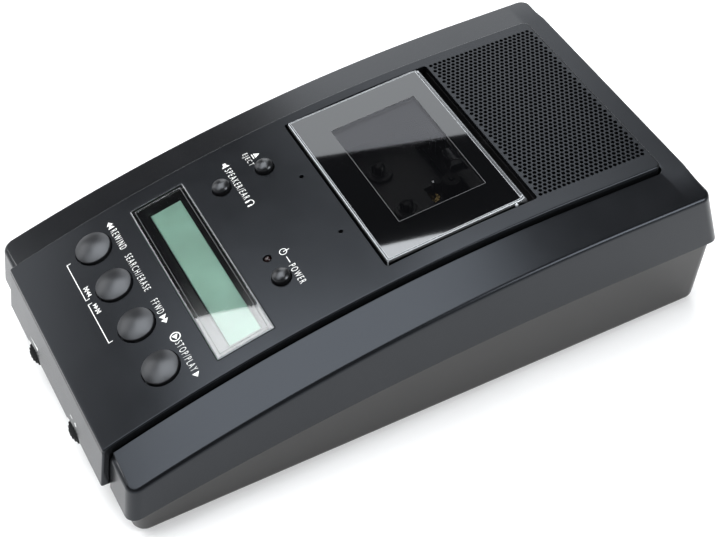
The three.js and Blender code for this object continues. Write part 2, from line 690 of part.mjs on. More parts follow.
function speakerCone() {
  const { radius, flange, top, depth } = SPEAKER;
  const low = top - depth + 2;
  return turned([
    [0, low + 1.4], [6, low], [radius - 4.2, top - flange - 0.5], [radius - 4.8, top - flange],
    [6, low + 1.4], [4, low + 3.2], [0, low + 4],
  ], ROUND);
}

function speakerMagnet() {
  const { magnet, top, depth, magnetDepth } = SPEAKER;
  const high = top - depth - GAP;
  const low = high - magnetDepth;
  return turned([[0, low], [magnet - 0.6, low], [magnet, low + 0.6], [magnet, high], [0, high]]);
}

function socket({ x, nose, name }) {
  const { half, front, back, z, reach } = SOCKET;
  const body = box(x - half, x + half, front, back, 9.9 + GAP, z + half);
  const barrel = lengthRod(x, back - 1, reach, z, nose, 16);
  const whole = join([body, barrel]);
  if (name === 'earphone_socket') return cut(whole, [lengthRod(x, 223, 240, z, 1.8, 12)]);
  if (name === 'power_socket') {
    const opened = cut(whole, [lengthRod(x, 224, 240, z, 2.8, 16)]);
    return join([opened, lengthRod(x, 223, reach - 0.6, z, 1, 10)]);
  }
  const pins = [0, 1, 2, 3, 4].map((i) => {
    const turn = (i / 4) * Math.PI;
    return lengthRod(x + 2.6 * Math.cos(turn), 230, 240, z + 2.6 * Math.sin(turn), 0.6, 6);
  });
  return cut(whole, pins);
}

// ---- The machine ----

const machine = new THREE.Group();
machine.position.y = -CASE_MIDDLE_Y;

function add(name, geometry, color, roughness, metalness = 0, parent = machine) {
  const material = new THREE.MeshStandardMaterial({ color, roughness, metalness });
  const mesh = new THREE.Mesh(geometry, material);
  mesh.name = name;
  parent.add(mesh);
  return mesh;
}

const BLACK = '#1c1d20';
const DARK = '#26272a';
const STEEL = '#9a9da2';
const BOARD_GREEN = '#2f5b3c';

function addCase() {
  add('upper_case', upperCase(), BLACK, 0.55);
  add('control_panel', controlPanel(), BLACK, 0.5);
  add('lower_case', lowerCase(), DARK, 0.6);
  for (const { name, x, y } of footPlaces()) {
    add(name, foot(), '#141414', 0.9).position.set(x, y, 0);
  }
  screwPlaces().forEach(({ x, y }) => {
    const name = `${y === SCREW.front ? 'front' : 'back'}_${x < 0 ? 'left' : 'right'}_screw`;
    add(name, screw(), STEEL, 0.35, 1).position.set(x, y, 0);
  });
}

function addControls() {
  for (const { name, x, y, size } of BUTTONS) {
    add(name, button(size), DARK, 0.4).applyMatrix4(panelFrame(x, y));
  }
  const led = turned([[0, -6], [LED.radius, -6], [LED.radius, 0], [LED.radius * 0.7, 0.5], [0, 0.7]], 12);
  add('power_led', led, '#5a1414', 0.2).applyMatrix4(panelFrame(LED.x, LED.y));
  for (const { name, x } of WHEELS) {
    add(`${name}_wheel`, thumbwheel(), DARK, 0.6).position.set(x, WHEEL.y, WHEEL.bottom);
    add(`${name}_control`, wheelControl(), '#3a4a7a', 0.5).position.set(x, WHEEL.y + 0.2, WHEEL.top + 0.8);
  }
  add('wheel_board', box(-28, 27, 1.2, 17, 21.6, 21.6 + BOARD_THICK), BOARD_GREEN, 0.5);
  for (const { name, x, y } of MICROPHONES) {
    const capsule = rod(0, 0, MICROPHONE.radius, -WALL - GAP - MICROPHONE.height, -WALL - GAP);
    add(name, capsule, STEEL, 0.4, 1).applyMatrix4(panelFrame(x, y));
  }
}

function addDisplay() {
  const { x, y, width, length, thick, proud } = DISPLAY;
  const pane = centredBox(0, 0, width / 2, length / 2, proud - thick, proud);
  add('display_window', pane, '#dfe6e6', 0.05).applyMatrix4(panelFrame(x, y));
  add('display_bezel', displayBezel(), BLACK, 0.5).applyMatrix4(panelFrame(x, y));
  const [halfX, halfY] = [GLASS.width / 2, GLASS.length / 2];
  const glass = centredBox(GLASS.x - x, GLASS.y - y, halfX, halfY, GLASS.bottom, GLASS.top);
  add('display_glass', glass, '#9ebfa8', 0.3).applyMatrix4(panelFrame(x, y));
  add('key_board', keyBoard(), BOARD_GREEN, 0.5);
}

function addLid() {
  const hinge = new THREE.Group();
  hinge.position.set(0, HINGE.y, HINGE.z);
  hinge.rotation.x = LID.tilt;
  machine.add(hinge);
  add('cassette_lid', cassetteLid(), '#30343a', 0.08, 0, hinge);
  add('lid_hinge_pin', crossRod(HINGE.left, HINGE.right, HINGE.y, HINGE.z, HINGE.pin), STEEL, 0.3, 1);
  add('lid_spring', lidSpring(), STEEL, 0.35, 1).position.set(-37, HINGE.y, HINGE.z);
  add('lid_latch', lidLatch(), '#d8d8d2', 0.5).position.set(LATCH.x, LATCH.y, LATCH.z);
}

function addDeck() {
  add('cassette_well', cassetteWell(), BLACK, 0.5);
  add('deck_plate', deckPlate(), STEEL, 0.4, 1);
  add('supply_spindle', reelSpindle(), '#2b2c30', 0.4).position.set(-REEL.x, REEL.y, 0);
  add('takeup_spindle', reelSpindle(), '#2b2c30', 0.4).position.set(REEL.x, REEL.y, 0);
  const idler = idlerPlace();
  const tyre = ring(IDLER.axle + GAP, IDLER.radius, REEL.tableBottom + 0.2, REEL.tableTop - 0.2, 20);
  add('idler_wheel', tyre, '#151515', 0.8).position.set(idler.x, idler.y, 0);
  add('play_head', tapeHead(7, 5), '#c8c8c8', 0.25, 1).position.x = -3.5;
  add('erase_head', tapeHead(4.4, 4), '#3c3c40', 0.4).position.x = -13.6;
  add('head_plate', headPlate(), STEEL, 0.35, 1);
  add('pinch_arm', pinchArm(), STEEL, 0.35, 1);
  const roller = pinchRest();
  const tread = ring(PINCH.axle + GAP, PINCH.roller, HEADS.plateTop + 0.6, HEADS.top - 0.4, 20);
  add('pinch_roller', tread, '#1a1a1a', 0.8).position.set(roller.x, roller.y, 0);
  const { x, y, z, plunger } = SOLENOID;
  add('head_solenoid', headSolenoid(), '#8a4a20', 0.5);
  add('solenoid_plunger', lengthRod(x, 162.5, y + 1.5, z, plunger), STEEL, 0.3, 1);
}

function addDrive() {
  const { x, y, radius, bearing } = CAPSTAN;
  const sleeve = ring(radius + GAP, bearing, DECK.top - 2.4, DECK.top + 0.1, SMALL_ROUND);
  add('capstan_shaft', capstanShaft(), '#d5d8dc', 0.15, 1).position.set(x, y, 0);
  add('capstan_bearing', sleeve, '#b08d4a', 0.3, 1).position.set(x, y, 0);
  add('flywheel', flywheel(), '#a8a8a2', 0.3, 1).position.set(x, y, 0);
  add('flywheel_bracket', flywheelBracket(), STEEL, 0.4, 1).position.set(x, y, 0);
  add('drive_motor', driveMotor(), STEEL, 0.3, 1).position.set(MOTOR.x, MOTOR.y, 0);
  add('motor_pulley', motorPulley(), '#b08d4a', 0.3, 1).position.set(MOTOR.x, MOTOR.y, 0);
  add('drive_belt', driveBelt(), '#121212', 0.9);
}

function addElectronics() {
  add('main_board', mainBoard(), BOARD_GREEN, 0.5);
  add('speaker_frame', speakerFrame(), STEEL, 0.4, 1).position.set(GRILLE.x, SPEAKER.y, 0);
  add('speaker_cone', speakerCone(), '#1d1b19', 0.9).position.set(GRILLE.x, SPEAKER.y, 0);
  add('speaker_magnet', speakerMagnet(), '#6d7075', 0.4, 1).position.set(GRILLE.x, SPEAKER.y, 0);
  for (const place of SOCKETS) add(place.name, socket(place), '#191919', 0.45);
}

addCase();
addControls();
addDisplay();
addLid();
addDeck();
addDrive();
addElectronics();

const model = new THREE.Group();
model.add(machine);

export default model;
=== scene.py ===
# A desktop microcassette dictation machine: the looks built round its CAD frame.
# Lengths in the helpers are millimetres: x to the right, y back from the panel's front top
# edge, z up from the table. to_frame() turns them into the frame's metres.

from math import asin, cos, degrees, pi, radians, sin, sqrt

import bmesh
import bpy
from mathutils import Matrix, Vector


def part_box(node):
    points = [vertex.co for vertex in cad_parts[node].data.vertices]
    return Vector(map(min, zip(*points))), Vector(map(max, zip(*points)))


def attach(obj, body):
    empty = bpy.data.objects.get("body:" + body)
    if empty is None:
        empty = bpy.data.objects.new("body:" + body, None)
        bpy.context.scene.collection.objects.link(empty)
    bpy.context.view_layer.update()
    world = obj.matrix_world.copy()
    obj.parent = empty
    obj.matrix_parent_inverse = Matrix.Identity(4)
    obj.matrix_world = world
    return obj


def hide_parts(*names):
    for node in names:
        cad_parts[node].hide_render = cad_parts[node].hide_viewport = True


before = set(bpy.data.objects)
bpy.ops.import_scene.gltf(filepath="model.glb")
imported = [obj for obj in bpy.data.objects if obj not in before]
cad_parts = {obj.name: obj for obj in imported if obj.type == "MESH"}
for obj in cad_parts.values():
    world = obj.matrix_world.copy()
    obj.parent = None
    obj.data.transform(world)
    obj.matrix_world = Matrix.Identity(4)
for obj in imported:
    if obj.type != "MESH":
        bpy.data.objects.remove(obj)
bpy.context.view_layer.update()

MM = 0.001
GAP = 0.3
WALL = 2.2

# Driving dimensions of the case, as in the CAD. A crest and a radius describe a side arc.
PANEL = {"half": 47, "back": 220.5, "top": 64.2, "crest": 184, "radius": 560, "skirt": 6.5, "corner": 2.6}
PANEL_FOOT = (-3.1, 14.8)
PANEL_EDGE = 0.7
PANEL_NOSE = 0.9
SHOULDER = {"top": 59, "crest": 198, "radius": 640, "step": 2.8}
BAND = {"top": 33.8, "crest": 190, "radius": 870}
SHELL = {"half_top": 65, "half_bottom": 65.5, "opening": 47.8, "opening_back": 221.2, "edge": 1.5}
SHELL_FRONT = (1.7, -0.4)
SHELL_BACK = (231, 237.6)
BASE = {"floor": 1.2, "half_top": 63.9, "half_bottom": 62.5, "edge": 3}
BASE_FRONT = (1.6, 2.4)
BASE_BACK = (236.6, 233.8)
SHARP_CORNER = 0.01
SHARP_ANGLE = radians(32)

BIG_BUTTONS = ("rewind_button", "search_button", "forward_button", "play_button")
SMALL_BUTTONS = ("speaker_button", "eject_button", "power_button")
MICROPHONES = ("left_microphone", "right_microphone")
WHEELS = ("volume_wheel", "tone_wheel")
FEET = ("front_left_foot", "front_right_foot", "back_left_foot", "back_right_foot")
SCREWS = ("front_left_screw", "back_left_screw", "front_right_screw", "back_right_screw")

# Caps: radius, height of the straight side, height of the dome over it, and its edge's rounding.
BIG_CAP = {"radius": 6.8, "side": 1.0, "dome": 1.6, "edge": 0.25}
SMALL_CAP = {"radius": 3.3, "side": 1.7, "dome": 1.3, "edge": 0.5}
STEM = {"radius": 2, "depth": 6.5, "flange": 1.1, "flange_top": -2.6, "flange_low": -3.4}
MICROPHONE_HOLE = 0.85
LED_RADIUS = 1.3
WHEEL = {"radius": 9, "bottom": 11.9, "top": 14.5, "ridges": 36, "knurl": 0.28}
DISPLAY = {"x": 0.4, "y": 57.1, "width": 79.6, "length": 21.4}
WELL = {"left": -42.5, "right": 39.7, "front": 111.7, "back": 172.4, "floor": 49.5}

# Where the frame's own origin lies: the panel's foot is its foremost point.
MIDDLE = PANEL_FOOT[0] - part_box("control_panel")[0][1] / MM


def to_frame(x, y, z):
    return Vector((x * MM, (y - MIDDLE) * MM, z * MM))


def lerp(a, b, t):
    return a + (b - a) * t


def turned(angle, axis):
    return Matrix.Rotation(radians(angle), 4, axis)


def level_matrix(x, y, z=0.0):
    """Takes millimetres about a point to the frame's metres."""
    return Matrix.Translation(to_frame(x, y, z)) @ Matrix.Scale(MM, 4)


def node_middle(node):
    """The middle of a CAD node's box, in the helpers' millimetres."""
    low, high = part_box(node)
    middle = (Vector(low) + Vector(high)) / 2 / MM
    return Vector((middle.x, middle.y + MIDDLE, middle.z))


def node_matrix(node):
    """The same about a CAD node's upright axis, z from the table."""
    middle = node_middle(node)
    return level_matrix(middle.x, middle.y)


def box_edges(box, grow):
    """Left, right, front and back edges of a box given by its middle and size."""
    half_x, half_y = box["width"] / 2 + grow, box["length"] / 2 + grow
    return box["x"] - half_x, box["x"] + half_x, box["y"] - half_y, box["y"] + half_y


# ---- Case surfaces ----


def arc_z(y, arc):
    run = max(arc["crest"] - y, 0)
    return arc["top"] - arc["radius"] + sqrt(arc["radius"] ** 2 - run**2)


def panel_z(y):
    return arc_z(y, PANEL)


def panel_slope(y):
    return asin(max(PANEL["crest"] - y, 0) / PANEL["radius"])


def on_panel(x, y, depth):
    """A point the given depth under the panel's surface, along its normal."""
    slope = panel_slope(y)
    return (x, y + sin(slope) * depth, panel_z(y) - cos(slope) * depth)


def panel_place(node):
    """The panel place (x, y) of a round piece that stands on the panel's normal."""
    middle = node_middle(node)
    y = middle.y
    for _ in range(4):
        depth = (panel_z(y) - middle.z) / cos(panel_slope(y))
        y = middle.y - sin(panel_slope(y)) * depth
    return middle.x, y


def panel_matrix(x, y):
    """The same about a panel place, z along the normal."""
    return level_matrix(x, y, panel_z(y)) @ Matrix.Rotation(panel_slope(y), 4, "X")


# The panel's front face as (y, z) vectors: its foot, its top edge, the way up and the way in.
FACE_FOOT = Vector(PANEL_FOOT)
FACE_EDGE = Vector((0, panel_z(0)))
FACE_UP = (FACE_EDGE - FACE_FOOT).normalized()
FACE_IN = Vector((FACE_UP.y, -FACE_UP.x))
ARC_CENTRE = Vector((PANEL["crest"], PANEL["top"] - PANEL["radius"]))


def on_front(x, up, depth):
    """A point under the panel's front face, a length up from its foot."""
    place = FACE_FOOT + FACE_UP * up + FACE_IN * depth
    return (x, place.x, place.y)


# ---- Meshes ----


def link(name, mesh):
    piece = bpy.data.objects.new(name, mesh)
    bpy.context.collection.objects.link(piece)
    return piece


def new_piece(name, verts, faces, matrix=None):
    """A closed mesh with its faces turned outward; a matrix stands in for to_frame()."""
    mesh = bpy.data.meshes.new(name)
    points = verts if matrix else [to_frame(*vert) for vert in verts]
    mesh.from_pydata([tuple(point) for point in points], [], faces)
    bm = bmesh.new()
    bm.from_mesh(mesh)
    bmesh.ops.remove_doubles(bm, verts=bm.verts, dist=1e-4 if matrix else 1e-7)
    bmesh.ops.dissolve_degenerate(bm, edges=bm.edges, dist=1e-7)
    bmesh.ops.recalc_face_normals(bm, faces=bm.faces)
    bm.to_mesh(mesh)
    bm.free()
    if matrix:
        mesh.transform(matrix)
    return link(name, mesh)


def prism_faces(count, first=0):
    """Faces of a prism: count points of one outline, then those of the other."""
    near = [first + i for i in range(count)]
    far = [i + count for i in near]
    sides = [[near[i - 1], near[i], far[i], far[i - 1]] for i in range(count)]
    return [near[::-1], far] + sides


def prism(name, verts, matrix=None):
    """A prism whose outlines are the first and the second half of its points."""
    return new_piece(name, verts, prism_faces(len(verts) // 2), matrix)


def grid_faces(rows, count, rows_meet, ends_meet):
    """Quads between rows of count points, where the outer rows or a row's ends may meet."""
    faces = []
    for i in range(rows if rows_meet else rows - 1):
        here, there = i * count, (i + 1) % rows * count
        for k in range(count if ends_meet else count - 1):
            m = (k + 1) % count
            faces.append((here + k, there + k, there + m, here + m))
    return faces


def lathe(name, profile, matrix, steps):
    """A solid of revolution from (radius, height) pairs, axis along z."""
    verts = []
    for i in range(steps):
        turn = 2 * pi * i / steps
        verts += [(r * cos(turn), r * sin(turn), h) for r, h in profile]
    return new_piece(name, verts, grid_faces(steps, len(profile), True, False), matrix)


def arc_points(centre, radius, start, end, steps):
    """Points of an arc in a profile, angles in degrees."""
    angles = [radians(lerp(start, end, i / steps)) for i in range(steps + 1)]
    return [(centre[0] + radius * cos(a), centre[1] + radius * sin(a)) for a in angles]


def fillet(radius, steps=5):
    """[inset, depth] pairs of an upper rim's rounding, from the wall to the top."""
    turns = [radians(90 * i / steps) for i in range(steps + 1)]
    return [[radius * (1 - cos(turn)), radius * (1 - sin(turn))] for turn in turns]


def left_stations(left, front, back, front_corner, back_corner, along, bends=8):
    """Plan stations of a rounded rectangle's left half: each a point and its inward direction."""

    def bend(y, radius, start):
        corner = Vector((left + radius, y))
        turns = [radians(lerp(start, start - 90, i / bends)) for i in range(bends + 1)]
        ways = [Vector((cos(turn), sin(turn))) for turn in turns]
        return [(corner + way * radius, -way) for way in ways]

    first, last = front + front_corner, back - back_corner
    places = [Vector((left, lerp(first, last, i / along))) for i in range(1, along)]
    straight = [(place, Vector((1, 0))) for place in places]
    return bend(first, front_corner, 270) + straight + bend(last, back_corner, 180)


def loop_block(name, stations, profile, place, middle=0.0, across=()):
    """A closed block. profile(i) gives [inset, data] pairs from the lower rim to the upper; place
    turns (x, y, data) into a point. across lists x places of extra points over the top."""
    count = len(profile(0))
    verts, faces, index = [], [], {}
    for i, (point, inward) in enumerate(stations):
        for k, (inset, data) in enumerate(profile(i)):
            plan = point + inward * inset
            for side, x in ((0, plan.x), (1, 2 * middle - plan.x)):
                index[side, i, k] = len(verts)
                verts.append(place(x, plan.y, data))
        for m, x in enumerate(across):
            index["top", i, m] = len(verts)
            verts.append(place(x, plan.y, data))

    def rung(i, k):
        """The points of one level of a station, from left to right."""
        tops = range(len(across)) if k == count - 1 else ()
        return [index[0, i, k]] + [index["top", i, m] for m in tops] + [index[1, i, k]]

    ends = len(stations) - 1
    for i in range(ends):
        for k in range(count - 1):
            for side, way in ((0, 1), (1, -1)):
                quad = [index[side, j, m] for j, m in ((i, k), (i + 1, k), (i + 1, k + 1), (i, k + 1))]
                faces.append(quad[::way])
        faces.append([index[0, i, 0], index[1, i, 0], index[1, i + 1, 0], index[0, i + 1, 0]])
        here, there = rung(i, count - 1), rung(i + 1, count - 1)
        faces += [[here[m], there[m], there[m + 1], here[m + 1]] for m in range(len(across) + 1)]
    for i in (0, ends):
        for k in range(count - 1):
            strip = rung(i, k) + rung(i, k + 1)[::-1]
            faces.append(strip if i else strip[::-1])
    return new_piece(name, verts, faces)


def plate(name, edges, rim, corner, along=10, bends=4, place=on_panel):
    """A rounded plate between its left, right, front and back edges."""
    left, right, front, back = edges
    stations = left_stations(left, front, back, corner, corner, along, bends)
    return loop_block(name, stations, lambda i: rim, place, (left + right) / 2)


def boolean(piece, tools, operation="DIFFERENCE"):
    """Cuts tools from piece, or joins them to it, and deletes them."""
    for tool in tools:
        modifier = piece.modifiers.new("cut", "BOOLEAN")
        modifier.solver = "MANIFOLD"
        modifier.operation = operation
        modifier.object = tool
        graph = bpy.context.evaluated_depsgraph_get()
        mesh = bpy.data.meshes.new_from_object(piece.evaluated_get(graph))
        piece.modifiers.clear()
        old = piece.data
        piece.data = mesh
        bpy.data.meshes.remove(old)
        bpy.data.objects.remove(tool)
    return piece


# ---- Materials ----


class Nodes:
    """A material under construction, in the order its nodes are added."""

    def __init__(self, name):
        self.material = bpy.data.materials.new(name)
        self.material.use_nodes = True
        self.tree = self.material.node_tree
        self.shader = self.tree.nodes["Principled BSDF"]
        self.place = self.add("ShaderNodeTexCoord", {}).outputs["Object"]

    def add(self, kind, values, **sources):
        """A node with values set on its inputs, and sources linked to others."""
        node = self.tree.nodes.new(kind)
        self.set(values, node)
        for socket, source in sources.items():
            self.tree.links.new(source, node.inputs[socket])
        return node

    def set(self, values, node=None):
        for socket, value in values.items():
            (node or self.shader).inputs[socket].default_value = value

    def link(self, socket, source):
        self.tree.links.new(source, self.shader.inputs[socket])

    def noise(self, size_mm, detail=3.0, stretch=(1, 1, 1)):
        """Noise whose features are about size_mm across."""
        scale = [s / (size_mm * MM) for s in stretch]
        mapping = self.add("ShaderNodeMapping", {"Scale": scale}, Vector=self.place)
        values = {"Scale": 1, "Detail": detail}
        return self.add("ShaderNodeTexNoise", values, Vector=mapping.outputs["Vector"]).outputs["Fac"]

    def spread(self, value, low, high, start=0.3, end=0.7):
        values = {"From Min": start, "From Max": end, "To Min": low, "To Max": high}
        return self.add("ShaderNodeMapRange", values, Value=value).outputs["Result"]

    def colour(self, value, colour, dark, light):
        """The base colour, which value takes from a darker to a lighter tone."""
        ramp = self.add("ShaderNodeValToRGB", {}, Fac=self.spread(value, 0, 1))
        for element, tone in zip(ramp.color_ramp.elements, (dark, light)):
            element.color = (*(min(part * tone, 1) for part in colour), 1)
        self.link("Base Color", ramp.outputs["Color"])

    def bump(self, value, height_mm, strength=1.0):
        values = {"Strength": strength, "Distance": height_mm * MM}
        self.link("Normal", self.add("ShaderNodeBump", values, Height=value).outputs["Normal"])


def plastic(name, colour, roughness, grain, height=0.004, specular=0.5, sheen=(1, 1, 1), alpha=1.0):
    """Moulded plastic: a fine grain, slow changes of tone, and rubbed, glossier patches."""
    nodes = Nodes(name)
    nodes.colour(nodes.noise(18, 2), colour, 0.88, 1.14)
    change = min(0.02, roughness * 0.08)
    rubbed = nodes.spread(nodes.noise(9, 2), roughness - change, roughness + change, 0.15, 0.85)
    nodes.link("Roughness", rubbed)
    nodes.bump(nodes.noise(grain, 2), height)
    nodes.set({"Specular IOR Level": specular, "Specular Tint": (*sheen, 1), "Alpha": alpha})
    return nodes.material


def metal(name, colour, roughness, stretch, size=0.5):
    """Plated, turned or rolled metal: fine drawn lines where stretch is uneven."""
    nodes = Nodes(name)
    nodes.colour(nodes.noise(6, 3), colour, 0.85, 1.1)
    lines = nodes.noise(size, 3, stretch)
    nodes.link("Roughness", nodes.spread(lines, roughness - 0.06, roughness + 0.08))
    nodes.bump(lines, 0.001)
    nodes.set({"Metallic": 1})
    return nodes.material


def acrylic(name, tint, roughness):
    """Polished clear acrylic with a moulding's faint unevenness and fine dust."""
    nodes = Nodes(name)
    nodes.set({"Base Color": (*tint, 1), "Transmission Weight": 1, "IOR": 1.49})
    nodes.link("Roughness", nodes.spread(nodes.noise(2.5, 4), roughness * 0.6, roughness * 1.8))
    nodes.bump(nodes.noise(30, 1), 0.0015)
    return nodes.material


def board(name):
    """Green solder mask over copper tracks."""
    nodes = Nodes(name)
    values = {"Scale": 1 / (9 * MM), "Mortar Size": 0.04, "Color1": (0.012, 0.07, 0.03, 1),
              "Color2": (0.014, 0.085, 0.036, 1), "Mortar": (0.03, 0.17, 0.06, 1)}
    tracks = nodes.add("ShaderNodeTexBrick", values, Vector=nodes.place)
    nodes.link("Base Color", tracks.outputs["Color"])
    nodes.link("Roughness", nodes.spread(nodes.noise(4), 0.32, 0.45))
    nodes.bump(tracks.outputs["Fac"], 0.03, 0.5)
    return nodes.material


# Plastics: colour, roughness, grain size and height in mm, specular level and tint, alpha.
CASE_SHEEN = (0.8, 0.88, 1)
CAP_SHEEN = (0.9, 0.94, 1)
GLASS_SHEEN = (0.94, 0.97, 1)
CASE_BLACK = plastic("case_black", (0.0045, 0.0047, 0.0053), 0.24, 0.4, 0.0015, 0.27, CASE_SHEEN)
PANEL_BLACK = plastic("panel_black", (0.004, 0.0042, 0.0047), 0.22, 0.4, 0.0015, 0.27, CASE_SHEEN)
BASE_BLACK = plastic("base_black", (0.006, 0.0059, 0.006), 0.34, 0.5, 0.003, 0.45, (1, 0.98, 0.97))
INNER_BLACK = plastic("inner_black", (0.006, 0.006, 0.0065), 0.34, 0.8)
BIG_CAP_BLACK = plastic("button_black", (0.006, 0.0061, 0.0068), 0.34, 0.3, 0.0015, 0.54, CAP_SHEEN)
SMALL_CAP_BLACK = plastic("small_button_black", (0.005, 0.0051, 0.0056), 0.28, 0.3, 0.001, 0.5, CAP_SHEEN)
GLOSS_BLACK = plastic("gloss_black", (0.003, 0.003, 0.0035), 0.08, 3, 0.001)
RUBBER = plastic("rubber_black", (0.008, 0.008, 0.008), 0.72, 0.6, 0.02, 0.35)
LEGEND_WHITE = plastic("legend_white", (0.82, 0.82, 0.8), 0.45, 0.5, 0.002)
LATCH_WHITE = plastic("latch_white", (0.62, 0.61, 0.56), 0.42, 0.6)
PART_BLUE = plastic("part_blue", (0.03, 0.06, 0.2), 0.38, 0.5, 0.003)
COIL_ORANGE = plastic("coil_orange", (0.28, 0.09, 0.02), 0.35, 0.4, 0.01)
CONE_PAPER = plastic("cone_paper", (0.012, 0.011, 0.01), 0.85, 0.9, 0.05, 0.25)
CLEAR = plastic("acrylic_clear", (0.12, 0.125, 0.13), 0.05, 3, 0.0003, 1.0, GLASS_SHEEN, 0.4)
MASK_BLACK = plastic("mask_black", (0.001, 0.001, 0.0012), 0.02, 3, 0.0001, 1.0, GLASS_SHEEN)
SMOKE = plastic("acrylic_smoke", (0.001, 0.001, 0.0012), 0.02, 3, 0.0001, 1.0, (0.9, 0.92, 1), 0.5)
# Near black: painted shade over the lid's clear outer wall.
WALL_PAINTED_SHADE = plastic("lid_painted_shade", (0.002, 0.002, 0.0022), 0.6, 2, 0.001, 0.1)
WHEEL_BLACK = plastic("wheel_black", (0.003, 0.003, 0.004), 0.5, 0.5, 0.003, 0.15)
# Pale grey: painted highlight for the bright edges of the lid's and the window's clear acrylic.
EDGE_PAINTED_HIGHLIGHT = plastic("acrylic_edge_painted_highlight", (0.42, 0.44, 0.46), 0.18, 2, 0.0005)
LED_RED = plastic("led_red", (0.008, 0.0012, 0.0014), 0.07, 2, 0.0005)
# Dark grey: a painted highlight line round the lid's window, where the printed mask ends.
OUTLINE_PAINTED_HIGHLIGHT = plastic("outline_painted_highlight", (0.035, 0.036, 0.04), 0.4, 1, 0.001)
# Mid grey: a painted highlight line where the light catches the display window's inner step.
STEP_PAINTED_HIGHLIGHT = plastic("step_painted_highlight", (0.1, 0.105, 0.11), 0.3, 1, 0.001)
CRYSTAL_GREEN = plastic("crystal_green", (0.172, 0.312, 0.24), 0.3, 2, 0.0005)

# Metals: colour, roughness, stretch of the drawn lines and their size in mm.
SHEET_LINES = (1, 8, 8)
TURNED_LINES = (1, 1, 12)
STEEL = metal("steel_sheet", (0.5, 0.51, 0.53), 0.3, SHEET_LINES)
# Steel inside the cassette well painted near black: painted shade of the well under the smoked window.
STEEL_PAINTED_SHADE = metal("steel_painted_shade", (0.03, 0.03, 0.032), 0.32, SHEET_LINES)
BRIGHT_STEEL = metal("steel_turned", (0.66, 0.67, 0.69), 0.16, TURNED_LINES, 0.8)
BRASS = metal("brass_turned", (0.56, 0.4, 0.16), 0.24, TURNED_LINES, 0.8)
ZINC = metal("zinc_machined", (0.46, 0.46, 0.45), 0.34, (1, 1, 6), 0.6)
PANE = acrylic("acrylic_pane", (0.95, 0.97, 0.97), 0.012)
BOARD = board("circuit_board")


def dress(piece, material):
    piece.data.materials.clear()
    piece.data.materials.append(material)
    return piece


def finished(piece, body, material, slot, *nodes):
    """Shades and paints a piece, rides it on its body, and lets it stand for CAD nodes."""
    piece.data.shade_smooth()
    piece.data.set_sharp_from_angle(angle=SHARP_ANGLE)
    weighted = piece.modifiers.new("weighted", "WEIGHTED_NORMAL")
    weighted.mode = "FACE_AREA"
    weighted.keep_sharp = True
    dress(piece, material)
    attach(piece, body)
    if nodes:
        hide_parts(*nodes)


# ---- Upper case ----


def shell_place(x, y, data):
    """data is (depth under the top, share of the way down from there to the band)."""
    depth, down = data
    outward = (abs(x) - SHELL["opening"]) / (SHELL["half_top"] - SHELL["opening"])
    top = lerp(panel_z(y) - SHOULDER["step"], arc_z(y, SHOULDER), max(outward, 0)) - depth
    z = lerp(top, arc_z(y, BAND) + GAP, down)
    along = (y - SHELL_FRONT[0]) / (SHELL_BACK[0] - SHELL_FRONT[0])
    front, back = lerp(*SHELL_FRONT, down), lerp(*SHELL_BACK, down)
    return (x * lerp(1, SHELL["half_bottom"] / SHELL["half_top"], down), lerp(front, back, along), z)


def shell_form(name, inset, below, edge):
    """The upper case's block, or the room inside it."""
    half = SHELL["half_top"] - inset
    front, back = SHELL_FRONT[0] + inset, SHELL_BACK[0] - inset
    stations = left_stations(-half, front, back, 4.5 - inset, 4 - inset, 90)
    rim = [[0, (inset, 1 + below)]] + [[e, (d + inset, 0)] for e, d in fillet(edge, 7)]
    across = (-SHELL["opening"], SHELL["opening"])
    return loop_block(name, stations, lambda i: rim, shell_place, across=across)


def upper_case():
    shell = shell_form("upper_shell", 0, 0, SHELL["edge"])
    room = shell_form("room", WALL, 0.3, 0.5)
    corner = PANEL["corner"] + 0.3
    stations = left_stations(-SHELL["opening"], -30, SHELL["opening_back"], SHARP_CORNER, corner, 90, 12)
    rim = [[0, 60], [0, 0.4], [-0.12, 0.12], [-0.4, -0.02], [-0.45, -9]]

    def place(x, y, depth):
        return (x, y, panel_z(y) - SHOULDER["step"] - depth)

    return boolean(shell, [room, loop_block("opening", stations, lambda i: rim, place)])


# ---- Control panel ----


def nose_corner(depth):
    """Where the front face and the top meet, both moved inward by depth."""
    start = FACE_EDGE + FACE_IN * depth
    to_start = start - ARC_CENTRE
    along = to_start.dot(FACE_UP)
    excess = to_start.length_squared - (PANEL["radius"] - depth) ** 2
    root = sqrt(along * along - excess)
    return start + FACE_UP * min(-along - root, -along + root, key=abs)


def panel_side(kind, share, depth):
    """A point (y, z) of the panel's side outline, moved inward by depth."""
    corner = nose_corner(depth)
    centre = nose_corner(PANEL_NOSE)
    rounding = PANEL_NOSE - depth
    if kind == "face":
        start = FACE_FOOT + FACE_IN * depth
        start += FACE_UP * ((PANEL_FOOT[1] - start.y) / FACE_UP.y)
        end = centre - FACE_IN * rounding if rounding > 0 else corner
        return start.lerp(end, share)
    outward = (centre - ARC_CENTRE).normalized()
    if kind == "nose":
        return centre + (-FACE_IN).slerp(outward, share) * rounding if rounding > 0 else corner
    start = outward if rounding > 0 else (corner - ARC_CENTRE).normalized()
    turn = lerp(asin(-start.x), 0, share)
    return ARC_CENTRE + Vector((-sin(turn), cos(turn))) * (PANEL["radius"] - depth)


